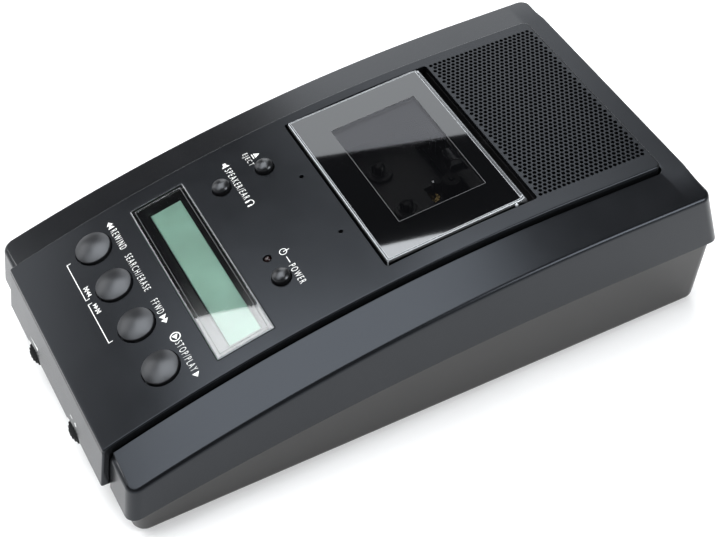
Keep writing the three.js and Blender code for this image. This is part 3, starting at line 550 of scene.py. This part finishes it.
def panel_form(name, half, back, corner, rim):
    """A block under the panel's surface; rim is [inset, depth] pairs from below to the top."""
    bends = [("face", i / 6) for i in range(6)]
    bends += [("nose", i / 7) for i in range(7)]
    bends += [("top", i / 90) for i in range(91)]
    behind = left_stations(-half, PANEL["crest"], back, SHARP_CORNER, corner, 12)[9:]
    stations = [(Vector((-half, 0)), Vector((1, 0)))] * len(bends) + behind
    bends += [None] * len(behind)

    def place(x, y, data):
        bend, depth = data
        y, z = panel_side(*bend, depth) if bend else (y, PANEL["top"] - depth)
        return (x, y, z)

    return loop_block(name, stations, lambda i: [[e, (bends[i], d)] for e, d in rim], place)


def hole_rim(flare):
    """[flare, depth] pairs of a hole's rounded rim, from the surface down."""
    return [[d, 0.02 + e] for e, d in fillet(flare, 4)]


def round_cutter(x, y, radius, flare, steps):
    above, deep = 2.0, 9.0
    profile = [(0, above), (radius + flare + 0.05, above)]
    profile += [(radius + out, -depth) for out, depth in hole_rim(flare)]
    return lathe("hole", profile + [(radius, -deep), (0, -deep)], panel_matrix(x, y), steps)


def slot_cutter(name, edges, corner, flare, deep):
    """A rounded rectangular opening that follows the panel's curve."""
    rim = [[0, deep]] + [[-out, depth] for out, depth in reversed(hole_rim(flare))]
    return plate(name, edges, rim + [[-flare - 0.05, -3.0]], corner, 40, 5)


# The grille: rows of small round holes, every other column moved by half a pitch.
GRILLE = {"left": -41.2, "front": 174.1, "rows": 23, "columns": 47}
GRILLE_HOLE = {"radius": 0.76, "pitch": 1.97, "step": 1.735}


def grille_cutter():
    verts, faces = [], []
    sides, radius = 12, GRILLE_HOLE["radius"]
    turns = [2 * pi * i / sides for i in range(sides)]
    ring = [(radius * cos(turn), radius * sin(turn)) for turn in turns]
    for column in range(GRILLE["columns"]):
        for row in range(GRILLE["rows"]):
            x = GRILLE["left"] + column * GRILLE_HOLE["step"]
            y = GRILLE["front"] + (row + column % 2 / 2) * GRILLE_HOLE["pitch"]
            faces += prism_faces(sides, len(verts))
            for z in (PANEL["top"] - 4, PANEL["top"] + 2):
                verts += [(x + px, y + py, z) for px, py in ring]
    return new_piece("grille_holes", verts, faces)


def notch_cutter(node):
    """The arched notch over a thumbwheel in the panel's front face."""
    half, rise, below = 6.2, 1.6, 3
    turns = [radians(a) for a in range(0, 181, 15)]
    profile = [(-half, -below), (half, -below)]
    profile += [(half * cos(turn), rise * sin(turn)) for turn in turns]
    x = node_middle(node).x
    verts = [(x + px, y, PANEL_FOOT[1] + pz) for y in (-8, 5) for px, pz in profile]
    return prism("notch", verts)


def front_groove():
    """The fine line across the front face, just under its top edge."""
    top = (FACE_EDGE - FACE_FOOT).length
    section = ((top - 1.75, -1), (top - 1.35, -1), (top - 1.35, 0.35), (top - 1.75, 0.35))
    return prism("groove", [on_front(x, up, depth) for x in (-60, 60) for up, depth in section])


def control_panel():
    rim = [[0, PANEL["skirt"]]] + fillet(PANEL_EDGE)
    panel = panel_form("panel_skin", PANEL["half"], PANEL["back"], PANEL["corner"], rim)
    room = panel_form("room", PANEL["half"] - WALL, PANEL["back"] - WALL, 3, [[0, 12], [0, WALL]])
    holes = [(node, BIG_CAP["radius"] + GAP, 0.35, 64) for node in BIG_BUTTONS]
    holes += [(node, SMALL_CAP["radius"] + GAP, 0.35, 48) for node in SMALL_BUTTONS]
    holes += [(node, MICROPHONE_HOLE, 0.2, 24) for node in MICROPHONES]
    holes.append(("power_led", LED_RADIUS + GAP, 0.25, 32))
    cutters = [round_cutter(*panel_place(node), *hole) for node, *hole in holes]
    cutters.append(slot_cutter("display_opening", box_edges(DISPLAY, GAP), 0.5, 0.25, 9))
    edges = (WELL["left"] + 0.1, WELL["right"], WELL["front"] - 0.15, WELL["back"])
    cutters.append(slot_cutter("lid_opening", edges, 1.2, 0.15, 14))
    cutters += [notch_cutter(node) for node in WHEELS]
    cutters.append(front_groove())
    return boolean(panel, [room, grille_cutter()] + cutters)


# ---- Lower case ----


def base_form(name, inset, floor, edge, rise):
    """The lower case's block, or the room inside it, its top raised by rise."""
    half = BASE["half_top"] - inset
    front, back = BASE_FRONT[0] + inset, BASE_BACK[0] - inset
    stations = left_stations(-half, front, back, 5 - inset, 4.5 - inset, 60)
    rim = [[0, None]] + [[e, BASE["floor"] + (floor + d)] for e, d in fillet(edge, 6)]

    def place(x, y, height):
        """No height is the top, which follows the band."""
        top = arc_z(y, BAND) - GAP
        down = 0 if height is None else min(1, (top - height) / (top - BASE["floor"]))
        along = (y - BASE_FRONT[0]) / (BASE_BACK[0] - BASE_FRONT[0])
        front, back = lerp(*BASE_FRONT, down), lerp(*BASE_BACK, down)
        x *= lerp(1, BASE["half_bottom"] / BASE["half_top"], down)
        return (x, lerp(front, back, along), top + rise if height is None else height)

    return loop_block(name, stations, lambda i: rim, place)


SOCKETS = {"foot_switch_socket": 4.6, "earphone_socket": 3.4, "power_socket": 4.2}
SOCKET_HEIGHT = 16


def back_cutter(x, radius):
    profile = [(0, 0), (radius, 0), (radius, 12), (0, 12)]
    return lathe("bore", profile, level_matrix(x, 240, SOCKET_HEIGHT) @ turned(90, "X"), 48)


def lower_case():
    tray = base_form("lower_tray", 0, 0, BASE["edge"], 0)
    cutters = [base_form("room", WALL, 2.5, 2, 4)]
    seat = [(0, -1), (6.1, -1), (6.1, 1.2), (5.8, 1.5), (5.8, 1.8), (0, 1.8)]
    well = [(0, -1), (3.5, -1), (3.5, 1.2), (3, 1.7), (3, 6), (0, 6)]
    cutters += [lathe("foot_seat", seat, node_matrix(node), 48) for node in FEET]
    cutters += [lathe("screw_well", well, node_matrix(node), 48) for node in SCREWS]
    reach = WHEEL["radius"] + 1
    rim = [[0, WHEEL["bottom"] - 1], [0, 30]]
    for x in (node_middle(node).x for node in WHEELS):
        edges = (x - reach, x + reach, -4, 8)
        cutters.append(plate("wheel_slot", edges, rim, 0.5, 4, 4, lambda *point: point))
    cutters += [back_cutter(node_middle(node).x, nose + GAP) for node, nose in SOCKETS.items()]
    return boolean(tray, cutters)


# ---- Controls ----


def cap_profile(cap):
    """A push button from its stem's end to the middle of its dome."""
    radius, edge = cap["radius"], cap["edge"]
    flange = radius + STEM["flange"]
    profile = [(0, -STEM["depth"]), (STEM["radius"], -STEM["depth"]), (STEM["radius"], STEM["flange_low"])]
    profile += [(flange, STEM["flange_low"]), (flange, STEM["flange_top"]), (radius, STEM["flange_top"])]
    profile.append((radius, cap["side"] - edge))
    sphere = (radius**2 + cap["dome"] ** 2) / (2 * cap["dome"])
    lean = degrees(asin(radius / sphere))
    profile += arc_points((radius - edge, cap["side"] - edge * 0.6), edge, 0, 90 - lean, 6)[1:-1]
    middle = cap["side"] + cap["dome"] - sphere
    inner = asin((radius - edge * 1.1) / sphere)
    turns = [lerp(inner, 0, i / 14) for i in range(14)]
    profile += [(sphere * sin(turn), middle + sphere * cos(turn)) for turn in turns]
    return profile + [(0, middle + sphere)]


def thumbwheel(node):
    """A knurled wheel with softened rims, and its stem."""
    middle = node_middle(node)
    low, high = WHEEL["bottom"], WHEEL["top"]
    levels = [(0.5, low), (0.15, low + 0.15), (0, low + 0.5)]
    levels += [(0, high - 0.5), (0.15, high - 0.15), (0.5, high)]
    count = WHEEL["ridges"] * 8
    verts = []
    for inset, z in levels:
        for i in range(count):
            turn = 2 * pi * i / count
            knurl = WHEEL["knurl"] * (1 - cos(turn * WHEEL["ridges"])) if inset < 0.4 else 0
            radius = WHEEL["radius"] - inset - knurl
            verts.append((middle.x + radius * cos(turn), middle.y + radius * sin(turn), z))
    faces = grid_faces(len(levels), count, False, True)
    faces += [list(range(count)), list(range(len(verts) - count, len(verts)))]
    disc = new_piece(node + "_knurled", verts, faces)
    stem = [(0, high - 0.5), (1.6, high - 0.5), (1.6, high + 1.3), (1.4, high + 1.5), (0, high + 1.5)]
    return boolean(disc, [lathe("stem", stem, node_matrix(node), 32)], "UNION")


def add_controls():
    kinds = ((BIG_BUTTONS, BIG_CAP, BIG_CAP_BLACK), (SMALL_BUTTONS, SMALL_CAP, SMALL_CAP_BLACK))
    for nodes, cap, material in kinds:
        for node in nodes:
            piece = lathe(node + "_cap", cap_profile(cap), panel_matrix(*panel_place(node)), 96)
            finished(piece, node, material, "button_plastic", node)
    lens = [(0, -6), (LED_RADIUS, -6), (LED_RADIUS, -1)]
    lens += arc_points((0, -1), LED_RADIUS, 0, 90, 8)[:-1] + [(0, LED_RADIUS - 1)]
    piece = lathe("led_lens", lens, panel_matrix(*panel_place("power_led")), 32)
    finished(piece, "root", LED_RED, "led_lens", "power_led")
    for node in WHEELS:
        finished(thumbwheel(node), node, WHEEL_BLACK, "button_plastic", node)


def cross_slot(node, angle):
    """One arm of a cross recess, tapering into the screw's head."""
    verts = []
    for z, long, wide in ((1.5, 1.7, 0.42), (4.2, 0.5, 0.2)):
        verts += [(-long, -wide, z), (long, -wide, z), (long, wide, z), (-long, wide, z)]
    return prism("slot", verts, node_matrix(node) @ turned(angle, "Z"))


def add_feet_and_screws():
    foot = [(0, 0.25), (3.6, 0.25), (3.9, 0), (4.9, 0)] + arc_points((4.9, 0.6), 0.6, -90, 0, 4)
    foot += [(5.5, 1.5), (0, 1.5)]
    for node in FEET:
        piece = lathe(node + "_pad", foot, node_matrix(node), 64)
        finished(piece, "root", RUBBER, "foot_rubber", node)
    screw = [(0, 2.2), (2.1, 2.2)] + arc_points((2.1, 2.8), 0.6, -90, 0, 4) + [(2.7, 4.9), (1.3, 4.9)]
    for i in range(14):
        screw += [(1.3, 5.4 + i * 1.1), (1.02, 5.95 + i * 1.1)]
    screw += [(1.3, 21), (0, 22)]
    for node in SCREWS:
        piece = lathe(node + "_turned", screw, node_matrix(node), 40)
        slots = [cross_slot(node, angle) for angle in (30, 120)]
        finished(boolean(piece, slots), "root", BRIGHT_STEEL, "steel", node)


# ---- Display ----

PANE_DEPTH = 1.5
PANE_TOP = -0.3
CRYSTAL = {"x": 1.2, "y": 58.1, "width": 70.5, "length": 12.2, "top": 2.4, "bottom": 4.2}


def add_display_frame(name, outer, inner, rim, corner, material):
    """A thin frame of painted highlight on the window, between two outlines set out from its edge."""
    line = plate(name, box_edges(DISPLAY, outer), [[e, PANE_TOP + d] for e, d in rim], corner)
    through = [[0, PANE_TOP + 2], [0, PANE_TOP - 1]]
    hole = plate("hole", box_edges(DISPLAY, inner), through, 0.3)
    finished(boolean(line, [hole]), "root", material, "window_acrylic")


def add_display():
    under = PANE_TOP + PANE_DEPTH
    rim = [[0.2, under], [0, under - 0.2]] + [[e, PANE_TOP + d] for e, d in fillet(0.45, 4)]
    pane = plate("display_pane", box_edges(DISPLAY, 0), rim, 0.5)
    finished(pane, "root", PANE, "window_acrylic", "display_window")
    bezel = plate("bezel_plate", box_edges(DISPLAY, -0.5), [[0, 5], [0, PANE_DEPTH]], 0.3)
    flared = [[0, CRYSTAL["bottom"] + 0.3], [0, 1.75], [-0.25, PANE_DEPTH], [-0.3, 0.5]]
    room = plate("crystal_room", box_edges(CRYSTAL, GAP), flared, 0.3)
    finished(boolean(bezel, [room]), "root", GLOSS_BLACK, "inner_plastic", "display_bezel")
    rim = [[0, CRYSTAL["bottom"]], [0, CRYSTAL["top"] + 0.2], [0.2, CRYSTAL["top"]]]
    crystal = plate("crystal", box_edges(CRYSTAL, 0), rim, 0.2)
    finished(crystal, "root", CRYSTAL_GREEN, "display_green", "display_glass")
    # Painted highlights: a pale line round the pane's bevelled edge and a grey one at its inner step.
    add_display_frame("display_painted_highlight", 0.01, -0.28, [[0, 0.5], [0, 0.3], [0.3, -0.02]], 0.5, EDGE_PAINTED_HIGHLIGHT)
    add_display_frame("display_step_painted_highlight", -1.5, -1.64, [[0, 0.2], [0, -0.015]], 0.3, STEP_PAINTED_HIGHLIGHT)


# ---- Lid ----

LID = {"left": -41.6, "right": 38.8, "front": 112.5, "back": 169.3, "tilt": 0.0768, "below": 4.4}
LID_SKIN = {"thick": 1.6, "wall": 1.5, "depth": 6.6, "back_depth": 2.4}
LID_ROUND = {"edge": 0.9, "roll": 2.2, "corner": 1.1}
LID_WINDOW = (-29, 24.7, 124.7, 160.2)
LID_MIDDLE = (LID["left"] + LID["right"]) / 2
LID_INK = -0.02


def lid_place(x, y, depth):
    """A point under the lid's level top, turned about the hinge to the closed lid's tilt."""
    pin = node_middle("lid_hinge_pin")
    back, up = y - pin.y, LID["below"] - depth
    sine, cosine = sin(LID["tilt"]), cos(LID["tilt"])
    return (x, pin.y + back * cosine - up * sine, pin.z + back * sine + up * cosine)


def lid_rounding(y, edge, roll):
    """The radius of the lid's edge, which grows towards its back."""
    share = max(0, min(1, (y - (LID["back"] - 3)) / 2.2))
    return lerp(edge, roll, share * share * (3 - 2 * share))


def lid_block(name, inset, low, edge, roll):
    corner = LID_ROUND["corner"] - inset * 0.4
    front, back = LID["front"] + inset, LID["back"] - inset
    stations = left_stations(LID["left"] + inset, front, back, corner, corner, 40, 6)
    sunk = LID_SKIN["thick"] if inset else 0

    def profile(i):
        radius = lid_rounding(stations[i][0].y, edge, roll)
        return [[inset, low]] + [[e + inset, d + sunk] for e, d in fillet(radius, 8)]

    return loop_block(name, stations, profile, lid_place, LID_MIDDLE)


def lid_plate(name, edges, low, top, corner=0.3, along=4, bends=3):
    """A flat plate of the lid between two depths."""
    return plate(name, edges, [[0, low], [0, top]], corner, along, bends, lid_place)


def lid_frame(name, outer, inner, low):
    """A flat frame on the lid's top, between two rectangles: the printed mask, or the painted highlight
    round its window.
    """
    hole = lid_plate("hole", inner, low + 1, LID_INK - 1)
    return boolean(lid_plate(name, outer, low, LID_INK), [hole])


def lid_ribbon(name, section):
    """A closed ribbon round the lid; section(radius) gives the corners as (inset, depth) pairs."""
    corner = LID_ROUND["corner"]
    left = left_stations(LID["left"], LID["front"], LID["back"], corner, corner, 40, 6)
    verts = []
    for side, stations in ((0, left), (1, left[::-1])):
        for point, inward in stations:
            radius = lid_rounding(point.y, LID_ROUND["edge"], LID_ROUND["roll"])
            for inset, depth in section(radius):
                plan = point + inward * inset
                verts.append(lid_place(2 * LID_MIDDLE - plan.x if side else plan.x, plan.y, depth))
    return new_piece(name, verts, grid_faces(2 * len(left), len(section(1)), True, True))


def edge_section(radius):
    """A painted highlight band along the lid's rounded edge, 60 degrees up from the wall."""
    width, proud, sunk = 0.32, 0.02, 0.05
    reach = degrees(width / 2 / radius)
    outer = arc_points((0, 0), radius + proud, 60 - reach, 60 + reach, 4)
    inner = arc_points((0, 0), radius - sunk, 60 + reach, 60 - reach, 4)
    return [(radius - x, radius - y) for x, y in outer + inner]


def inner_section(radius):
    """A painted highlight band on the lid's flat top, just inside the rounded edge."""
    start, end = radius + 0.1, radius + 0.24
    return [(start, -0.03), (end, -0.03), (end, 0.05), (start, 0.05)]


def wall_section(radius):
    """A dark sheet of painted shade over the lid's outer wall."""
    top, low = radius + 0.1, LID_SKIN["back_depth"] + 2
    return [(-0.015, top), (-0.015, low), (0.1, low), (0.1, top)]


def add_lid_piece(piece, material, *nodes):
    finished(piece, "lid", material, "lid_acrylic", *nodes)


def add_lid():
    wall, depth, edge = LID_SKIN["wall"], LID_SKIN["depth"], LID_ROUND["edge"]
    lid = lid_block("lid_shell", 0, depth, edge, LID_ROUND["roll"])
    room = lid_block("room", wall, depth + 2, 0.3, 1.2)
    edges = (LID["left"] + wall, LID["right"] - wall, LID["back"] - 4, LID["back"] + 2)
    back_room = lid_plate("back_room", edges, depth + 2, LID_SKIN["back_depth"], 0.1, 2, 2)
    pin = node_middle("lid_hinge_pin")
    across = level_matrix(-60, pin.y, pin.z) @ turned(90, "Y")
    bore = lathe("bore", [(0, 0), (1.3, 0), (1.3, 120), (0, 120)], across, 32)
    light = lid_plate("light", LID_WINDOW, 3, -1)
    add_lid_piece(boolean(lid, [room, back_room, bore, light]), CLEAR, "cassette_lid")
    margin = edge + 0.15
    outer = (LID["left"] + margin, LID["right"] - margin, LID["front"] + margin, LID["back"] - margin - 1.2)
    add_lid_piece(lid_frame("lid_mask", outer, LID_WINDOW, 0.1), MASK_BLACK)
    left, right, front, back = LID_WINDOW
    inner, pane = ((left + line, right - line, front + line, back - line) for line in (0.2, 0.23))
    # The line round the window is a painted highlight.
    add_lid_piece(lid_frame("lid_outline_painted_highlight", LID_WINDOW, inner, 1.5), OUTLINE_PAINTED_HIGHLIGHT)
    add_lid_piece(lid_plate("lid_window", pane, 1.5, LID_INK, 0.25, 6), SMOKE)
    # Painted highlights along the lid's rounded edge and just inside it, then painted shade over its outer
    # wall.
    add_lid_piece(lid_ribbon("lid_edge_painted_highlight", edge_section), EDGE_PAINTED_HIGHLIGHT)
    add_lid_piece(lid_ribbon("lid_inner_painted_highlight", inner_section), EDGE_PAINTED_HIGHLIGHT)
    add_lid_piece(lid_ribbon("lid_wall_painted_shade", wall_section), WALL_PAINTED_SHADE)
    # A thin upright painted highlight at the lid's front right corner.
    corner_highlight = [(0, -3.0), (0.3, -2.9), (0.3, -0.75), (0.2, -0.6), (0, -0.55)]
    corner = lid_place(LID["right"] - 0.52, LID["front"] + 0.52, 0)
    add_lid_piece(lathe("lid_corner_painted_highlight", corner_highlight, level_matrix(*corner), 20), EDGE_PAINTED_HIGHLIGHT)
    # A small lug at the lid's back right, pale with painted highlight.
    lug = [(0, 0), (0.6, 0), (0.6, 0.6), (0.45, 0.75), (0, 0.75)]
    side = lid_place(LID["right"] - 0.2, LID["back"] - 5, 1)
    add_lid_piece(lathe("lid_side_lug", lug, level_matrix(*side) @ turned(90, "Y"), 24), EDGE_PAINTED_HIGHLIGHT)


# ---- Deck ----

REEL = {"table": 6.5, "table_top": 43.4, "table_bottom": 41.2}
SPINDLE = {"collar": 4.9, "core": 2.1, "neck": 1.9, "top": 54.6}


def reel_spindle(node):
    """A reel table, its neck, collar and three-finned drive hub."""
    floor, top = WELL["floor"], SPINDLE["top"]
    table, low, high = REEL["table"], REEL["table_bottom"], REEL["table_top"]
    collar, core, neck = SPINDLE["collar"], SPINDLE["core"], SPINDLE["neck"]
    profile = [(0, low), (table - 0.3, low), (table, low + 0.3), (table, high - 0.3), (table - 0.3, high)]
    profile += [(neck, high), (neck, floor + GAP), (collar - 0.15, floor + GAP)]
    profile += [(collar, floor + GAP + 0.15), (collar, floor + 1.0), (collar - 0.25, floor + 1.2)]
    profile += [(3.9, floor + 1.2), (3.7, floor + 0.9), (3.0, floor + 0.9), (2.8, floor + 1.25)]
    profile += [(core + 0.2, floor + 1.3), (core, floor + 1.5), (core, top - 1.1)]
    profile += [(core - 0.15, top - 0.7), (1.2, top - 0.1), (0.8, top), (0, top)]
    body = lathe(node + "_turned", profile, node_matrix(node), 64)
    root, crown = floor + 1.1, top - 1.1
    outline = [(1, root), (2.8, root), (2.8, crown), (2.2, crown + 0.6), (1, crown + 0.6)]
    verts = [(r, side * 0.35, z) for side in (-1, 1) for r, z in outline]
    turns = [node_matrix(node) @ turned(angle, "Z") for angle in (0, 120, 240)]
    return boolean(body, [prism("fin", verts, turn) for turn in turns], "UNION")


def add_spindles():
    for side in ("supply", "takeup"):
        node = side + "_spindle"
        finished(reel_spindle(node), side + "_reel", INNER_BLACK, "inner_plastic", node)


# ---- Legends ----

INK = 0.02
INK_ROOT = 0.05


def ink(piece):
    dress(piece, LEGEND_WHITE)
    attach(piece, "root")


def ink_shape(name, outlines, place=on_panel):
    """Flat printed shapes, each outline a list of (x, y) corners."""
    verts, faces = [], []
    for outline in outlines:
        faces += prism_faces(len(outline), len(verts))
        verts += [place(x, y, depth) for depth in (-INK, INK_ROOT) for x, y in outline]
    ink(new_piece("legend_" + name, verts, faces))


def bar(x0, y0, x1, y1, width):
    """A straight printed line."""
    start, end = Vector((x0, y0)), Vector((x1, y1))
    along = (end - start).normalized()
    side = Vector((-along.y, along.x)) * width / 2
    return [(corner.x, corner.y) for corner in (start - side, end - side, end + side, start + side)]


def ring_bars(x, y, radius, width, start=0, end=360, parts=24):
    """An arc of printed line as short trapezia."""
    outer = arc_points((x, y), radius + width / 2, start, end, parts)
    inner = arc_points((x, y), radius - width / 2, start, end, parts)
    return [[inner[i], outer[i], outer[i + 1], inner[i + 1]] for i in range(parts)]


def pointer(x, y, length, height, way=1):
    """A solid triangle that points to the right, or to the left with way -1."""
    blunt = x - way * length / 2
    return [(blunt, y - height / 2), (x + way * length / 2, y), (blunt, y + height / 2)]


def ink_words(words, x, y, width):
    """Printed words, from their left end on the base line, fitted to the given width."""
    name = "legend_" + words.lower()
    curve = bpy.data.curves.new(name, "FONT")
    curve.body = words.replace("_", "/")
    curve.offset = -0.008
    curve.space_character = 1.4
    curve.resolution_u = 4
    source = link(name, curve)
    graph = bpy.context.evaluated_depsgraph_get()
    mesh = bpy.data.meshes.new_from_object(source.evaluated_get(graph))
    bpy.data.objects.remove(source)
    xs = [v.co.x for v in mesh.vertices]
    ys = [v.co.y for v in mesh.vertices]
    wide = width / (max(xs) - min(xs))
    tall = LETTER_HEIGHT / (max(ys) - min(ys))
    bm = bmesh.new()
    bm.from_mesh(mesh)
    bmesh.ops.remove_doubles(bm, verts=bm.verts, dist=1e-5)
    solid = bmesh.ops.extrude_face_region(bm, geom=bm.faces[:])
    lifted = {v for v in solid["geom"] if isinstance(v, bmesh.types.BMVert)}
    for vert in bm.verts:
        depth = -INK if vert in lifted else INK_ROOT
        place = on_panel(x + (vert.co.x - min(xs)) * wide, y + (vert.co.y - min(ys)) * tall, depth)
        vert.co = to_frame(*place)
    bmesh.ops.recalc_face_normals(bm, faces=bm.faces)
    bm.to_mesh(mesh)
    bm.free()
    ink(link(name, mesh))


# Printed words: text with _ for a stroke, left end, base line and length.
LETTER_HEIGHT = 2.6
KEY_LINE = 36.9
SWITCH_LINE = 83.3
WORDS = (
    ("REWIND", -36.0, KEY_LINE, 10.6),
    ("SEARCH_ERASE", -21.9, KEY_LINE, 19.4),
    ("FFWD", 2.8, KEY_LINE, 7.0),
    ("STOP_PLAY", 24.6, KEY_LINE, 14.4),
    ("SPEAKER_EAR", -34.9, SWITCH_LINE, 17.4),
    ("EJECT", -38.0, 91.4, 6.9),
    ("POWER", 19.6, SWITCH_LINE, 9.6),
)


def add_legends():
    for words in WORDS:
        ink_words(*words)
    row = KEY_LINE + 1.1
    arrows = [pointer(x, row, 1.7, 2.5, -1) for x in (-39.6, -38.0)]
    arrows += [pointer(x, row, 1.9, 2.7) for x in (11.9, 13.8)]
    ink_shape("arrows", arrows + [pointer(41.0, row, 1.9, 2.6)])
    left, right, base = -36.1, -33.7, 95.6
    triangle = [(left, base), (right, base), ((left + right) / 2, 97.7)]
    ink_shape("eject_mark", [triangle, bar(left, base - 0.65, right, base - 0.65, 0.4)])
    circle = ring_bars(22.1, 38.2, 1.75, 0.38)
    ink_shape("play_mark", circle + [pointer(22.3, 38.2, 2.0, 2.2)])
    line, tick, width = 18, 19.5, 0.3
    brackets = []
    for start, end in ((-32.8, -13.2), (-11.2, 9.1)):
        brackets.append(bar(start, line, end, line, width))
        brackets += [bar(x, line, x, tick, width) for x in (start + width / 2, end - width / 2)]
    ink_shape("brackets", brackets)
    low, high, width = 19.1, 20.9, 0.25
    marks = []
    for x, way in ((-16.2, -1), (-8.0, 1)):
        marks += [pointer(tip, 20, 1.2, 1.7, way) for tip in (x, x - way * 1.25)]
        near, far = x + way, x + way * 2.6
        marks += [bar(near, low, far, high, width), bar(near, high, far, low, width)]
        marks += [bar(end, low, end, high, width) for end in (near, far)]
    ink_shape("index_marks", marks)
    x, y = 12.6, 84.6
    power = ring_bars(x, y, 1.3, 0.27) + [bar(x, y, x, y + 2.3, 0.27), bar(15.3, y, 18.4, y, 0.3)]
    ink_shape("power_mark", power)
    phones = ring_bars(-15.0, 84.7, 1.3, 0.3, -10, 190, 14)
    phones += [bar(x, 83.1, x, 84.7, 0.7) for x in (-16.1, -13.9)]
    ink_shape("headphones", phones)
    back, throat, mouth = -38.2, -37.2, -36.2
    horn = [(back, 83.9), (throat, 83.9), (mouth, 82.9), (mouth, 86.1), (throat, 85.1), (back, 85.1)]
    ink_shape("speaker_mark", [horn])


def add_front_legends():
    """A level wedge, a minus and a plus over the thumbwheels, on the panel's front face."""
    volume, tone = (node_middle(node).x for node in WHEELS)
    wedge = [(volume - 4, 4.2), (volume + 4, 4.2), (volume + 4, 5.4)]
    minus, plus = (bar(x - 1, 4.8, x + 1, 4.8, 0.4) for x in (tone - 2, tone + 2))
    upright = bar(tone + 2, 3.8, tone + 2, 5.8, 0.4)
    ink_shape("levels", [wedge, minus, plus, upright], on_front)


# ---- Pieces that keep their CAD shape ----

CARRIED = (
    (STEEL, ("flywheel_bracket", "speaker_frame", "speaker_magnet")),
    # Deck metal in painted shade.
    (STEEL_PAINTED_SHADE, ("deck_plate", "head_plate", "pinch_arm")),
    (BRIGHT_STEEL, ("lid_hinge_pin", "lid_spring", "capstan_shaft", "solenoid_plunger", "play_head",
                    *MICROPHONES, "drive_motor")),
    (BRASS, ("capstan_bearing", "motor_pulley")),
    (ZINC, ("flywheel",)),
    (RUBBER, ("drive_belt", "idler_wheel", "pinch_roller")),
    (BOARD, ("key_board", "main_board", "wheel_board")),
    (PART_BLUE, ("volume_control", "tone_control")),
    (LATCH_WHITE, ("lid_latch",)),
    (COIL_ORANGE, ("head_solenoid",)),
    (CONE_PAPER, ("speaker_cone",)),
    (INNER_BLACK, ("cassette_well", "erase_head", *SOCKETS)),
)


def dress_carried():
    for material, nodes in CARRIED:
        for node in nodes:
            dress(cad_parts[node], material)


# ---- Camera and light ----

CAMERA_PLACE = (0.37194, -0.18053, 0.46761)
CAMERA_TURN = (0.743118, 0.016858, 1.090909)
LENS = 80.317

# Soft boxes, in metres: name, place, the point faced (None is straight down), size, radiance,
# colour and the turn about their own axis in degrees.
COOL = (0.97, 0.985, 1)
NEUTRAL = (1, 1, 1)
LIGHTS = (
    ("overhead_front_softbox", (-0.6025, -0.4535, 2), None, (1.844, 1.15), 6.4, COOL, -19),
    ("overhead_back_softbox", (-0.459, 0.3433, 2), None, (2.091, 0.45), 6.4, COOL, -19),
    ("overhead_side_softbox", (-1.2614, 1.1589, 2), None, (0.3, 0.53), 5.5, COOL, -19),
    ("forward_softbox", (-0.2, -1.75, 2), None, (1.7, 1.4), 3.6, COOL, 0),
    ("left_card", (-1.378, 0.643, 0.847), (0, 0.03, 0.062), (0.86, 1.177), 2.5, COOL, 0),
    ("edge_light", (0.98, 0.75, 1), (0, 0.05, 0.05), (0.7, 0.7), 10, COOL, 0),
    ("front_card", (-1.27, -1.06, 0.91), (-0.03, -0.09, 0.04), (1.15, 0.9), 2.9, NEUTRAL, 0),
)


def add_camera():
    data = bpy.data.cameras.new("camera")
    data.sensor_width = 36
    data.lens = LENS
    camera = link("camera", data)
    camera.location = CAMERA_PLACE
    camera.rotation_euler = CAMERA_TURN
    bpy.context.scene.camera = camera


def add_light(name, place, target, size, radiance, colour, turn):
    data = bpy.data.lights.new(name, "AREA")
    data.shape = "RECTANGLE"
    data.size, data.size_y = size
    data.energy = radiance * pi * size[0] * size[1]
    data.color = colour
    way = (Vector(place) - Vector(target or (*place[:2], 0))).normalized()
    facing = way.to_track_quat("Z", "Y").to_matrix().to_4x4()
    link(name, data).matrix_world = Matrix.Translation(place) @ facing @ turned(turn, "Z")


def add_floor():
    half = 6
    verts = [(x * half, y * half, 0) for x, y in ((-1, -1), (1, -1), (1, 1), (-1, 1))]
    mesh = bpy.data.meshes.new("floor")
    mesh.from_pydata(verts, [], [(0, 1, 2, 3)])
    floor = link("floor", mesh)
    nodes = Nodes("floor_paper")
    nodes.colour(nodes.noise(60, 2), (0.8, 0.8, 0.8), 1, 1.05)
    nodes.set({"Roughness": 0.9, "Specular IOR Level": 0.1})
    nodes.set({"Emission Color": (1, 1, 1, 1), "Emission Strength": 0.2})
    dress(floor, nodes.material)


def add_world():
    """A pale ground that turns dark above the horizon."""
    world = bpy.data.worlds.new("world")
    world.use_nodes = True
    tree = world.node_tree
    place = tree.nodes.new("ShaderNodeTexCoord")
    split = tree.nodes.new("ShaderNodeSeparateXYZ")
    ramp = tree.nodes.new("ShaderNodeValToRGB")
    low, high = ramp.color_ramp.elements
    low.position, low.color = 0.1, (0.85, 0.86, 0.87, 1)
    high.position, high.color = 0.45, (0.042, 0.044, 0.047, 1)
    tree.links.new(place.outputs["Generated"], split.inputs["Vector"])
    tree.links.new(split.outputs["Z"], ramp.inputs["Fac"])
    tree.links.new(ramp.outputs["Color"], tree.nodes["Background"].inputs["Color"])
    bpy.context.scene.world = world
    bpy.context.scene.view_settings.view_transform = "Standard"


def main():
    finished(upper_case(), "root", CASE_BLACK, "case_plastic", "upper_case")
    finished(control_panel(), "root", PANEL_BLACK, "panel_plastic", "control_panel")
    finished(lower_case(), "root", BASE_BLACK, "base_plastic", "lower_case")
    add_controls()
    add_feet_and_screws()
    add_display()
    add_lid()
    add_spindles()
    add_legends()
    add_front_legends()
    dress_carried()
    add_camera()
    add_floor()
    add_world()
    for light in LIGHTS:
        add_light(*light)


main()
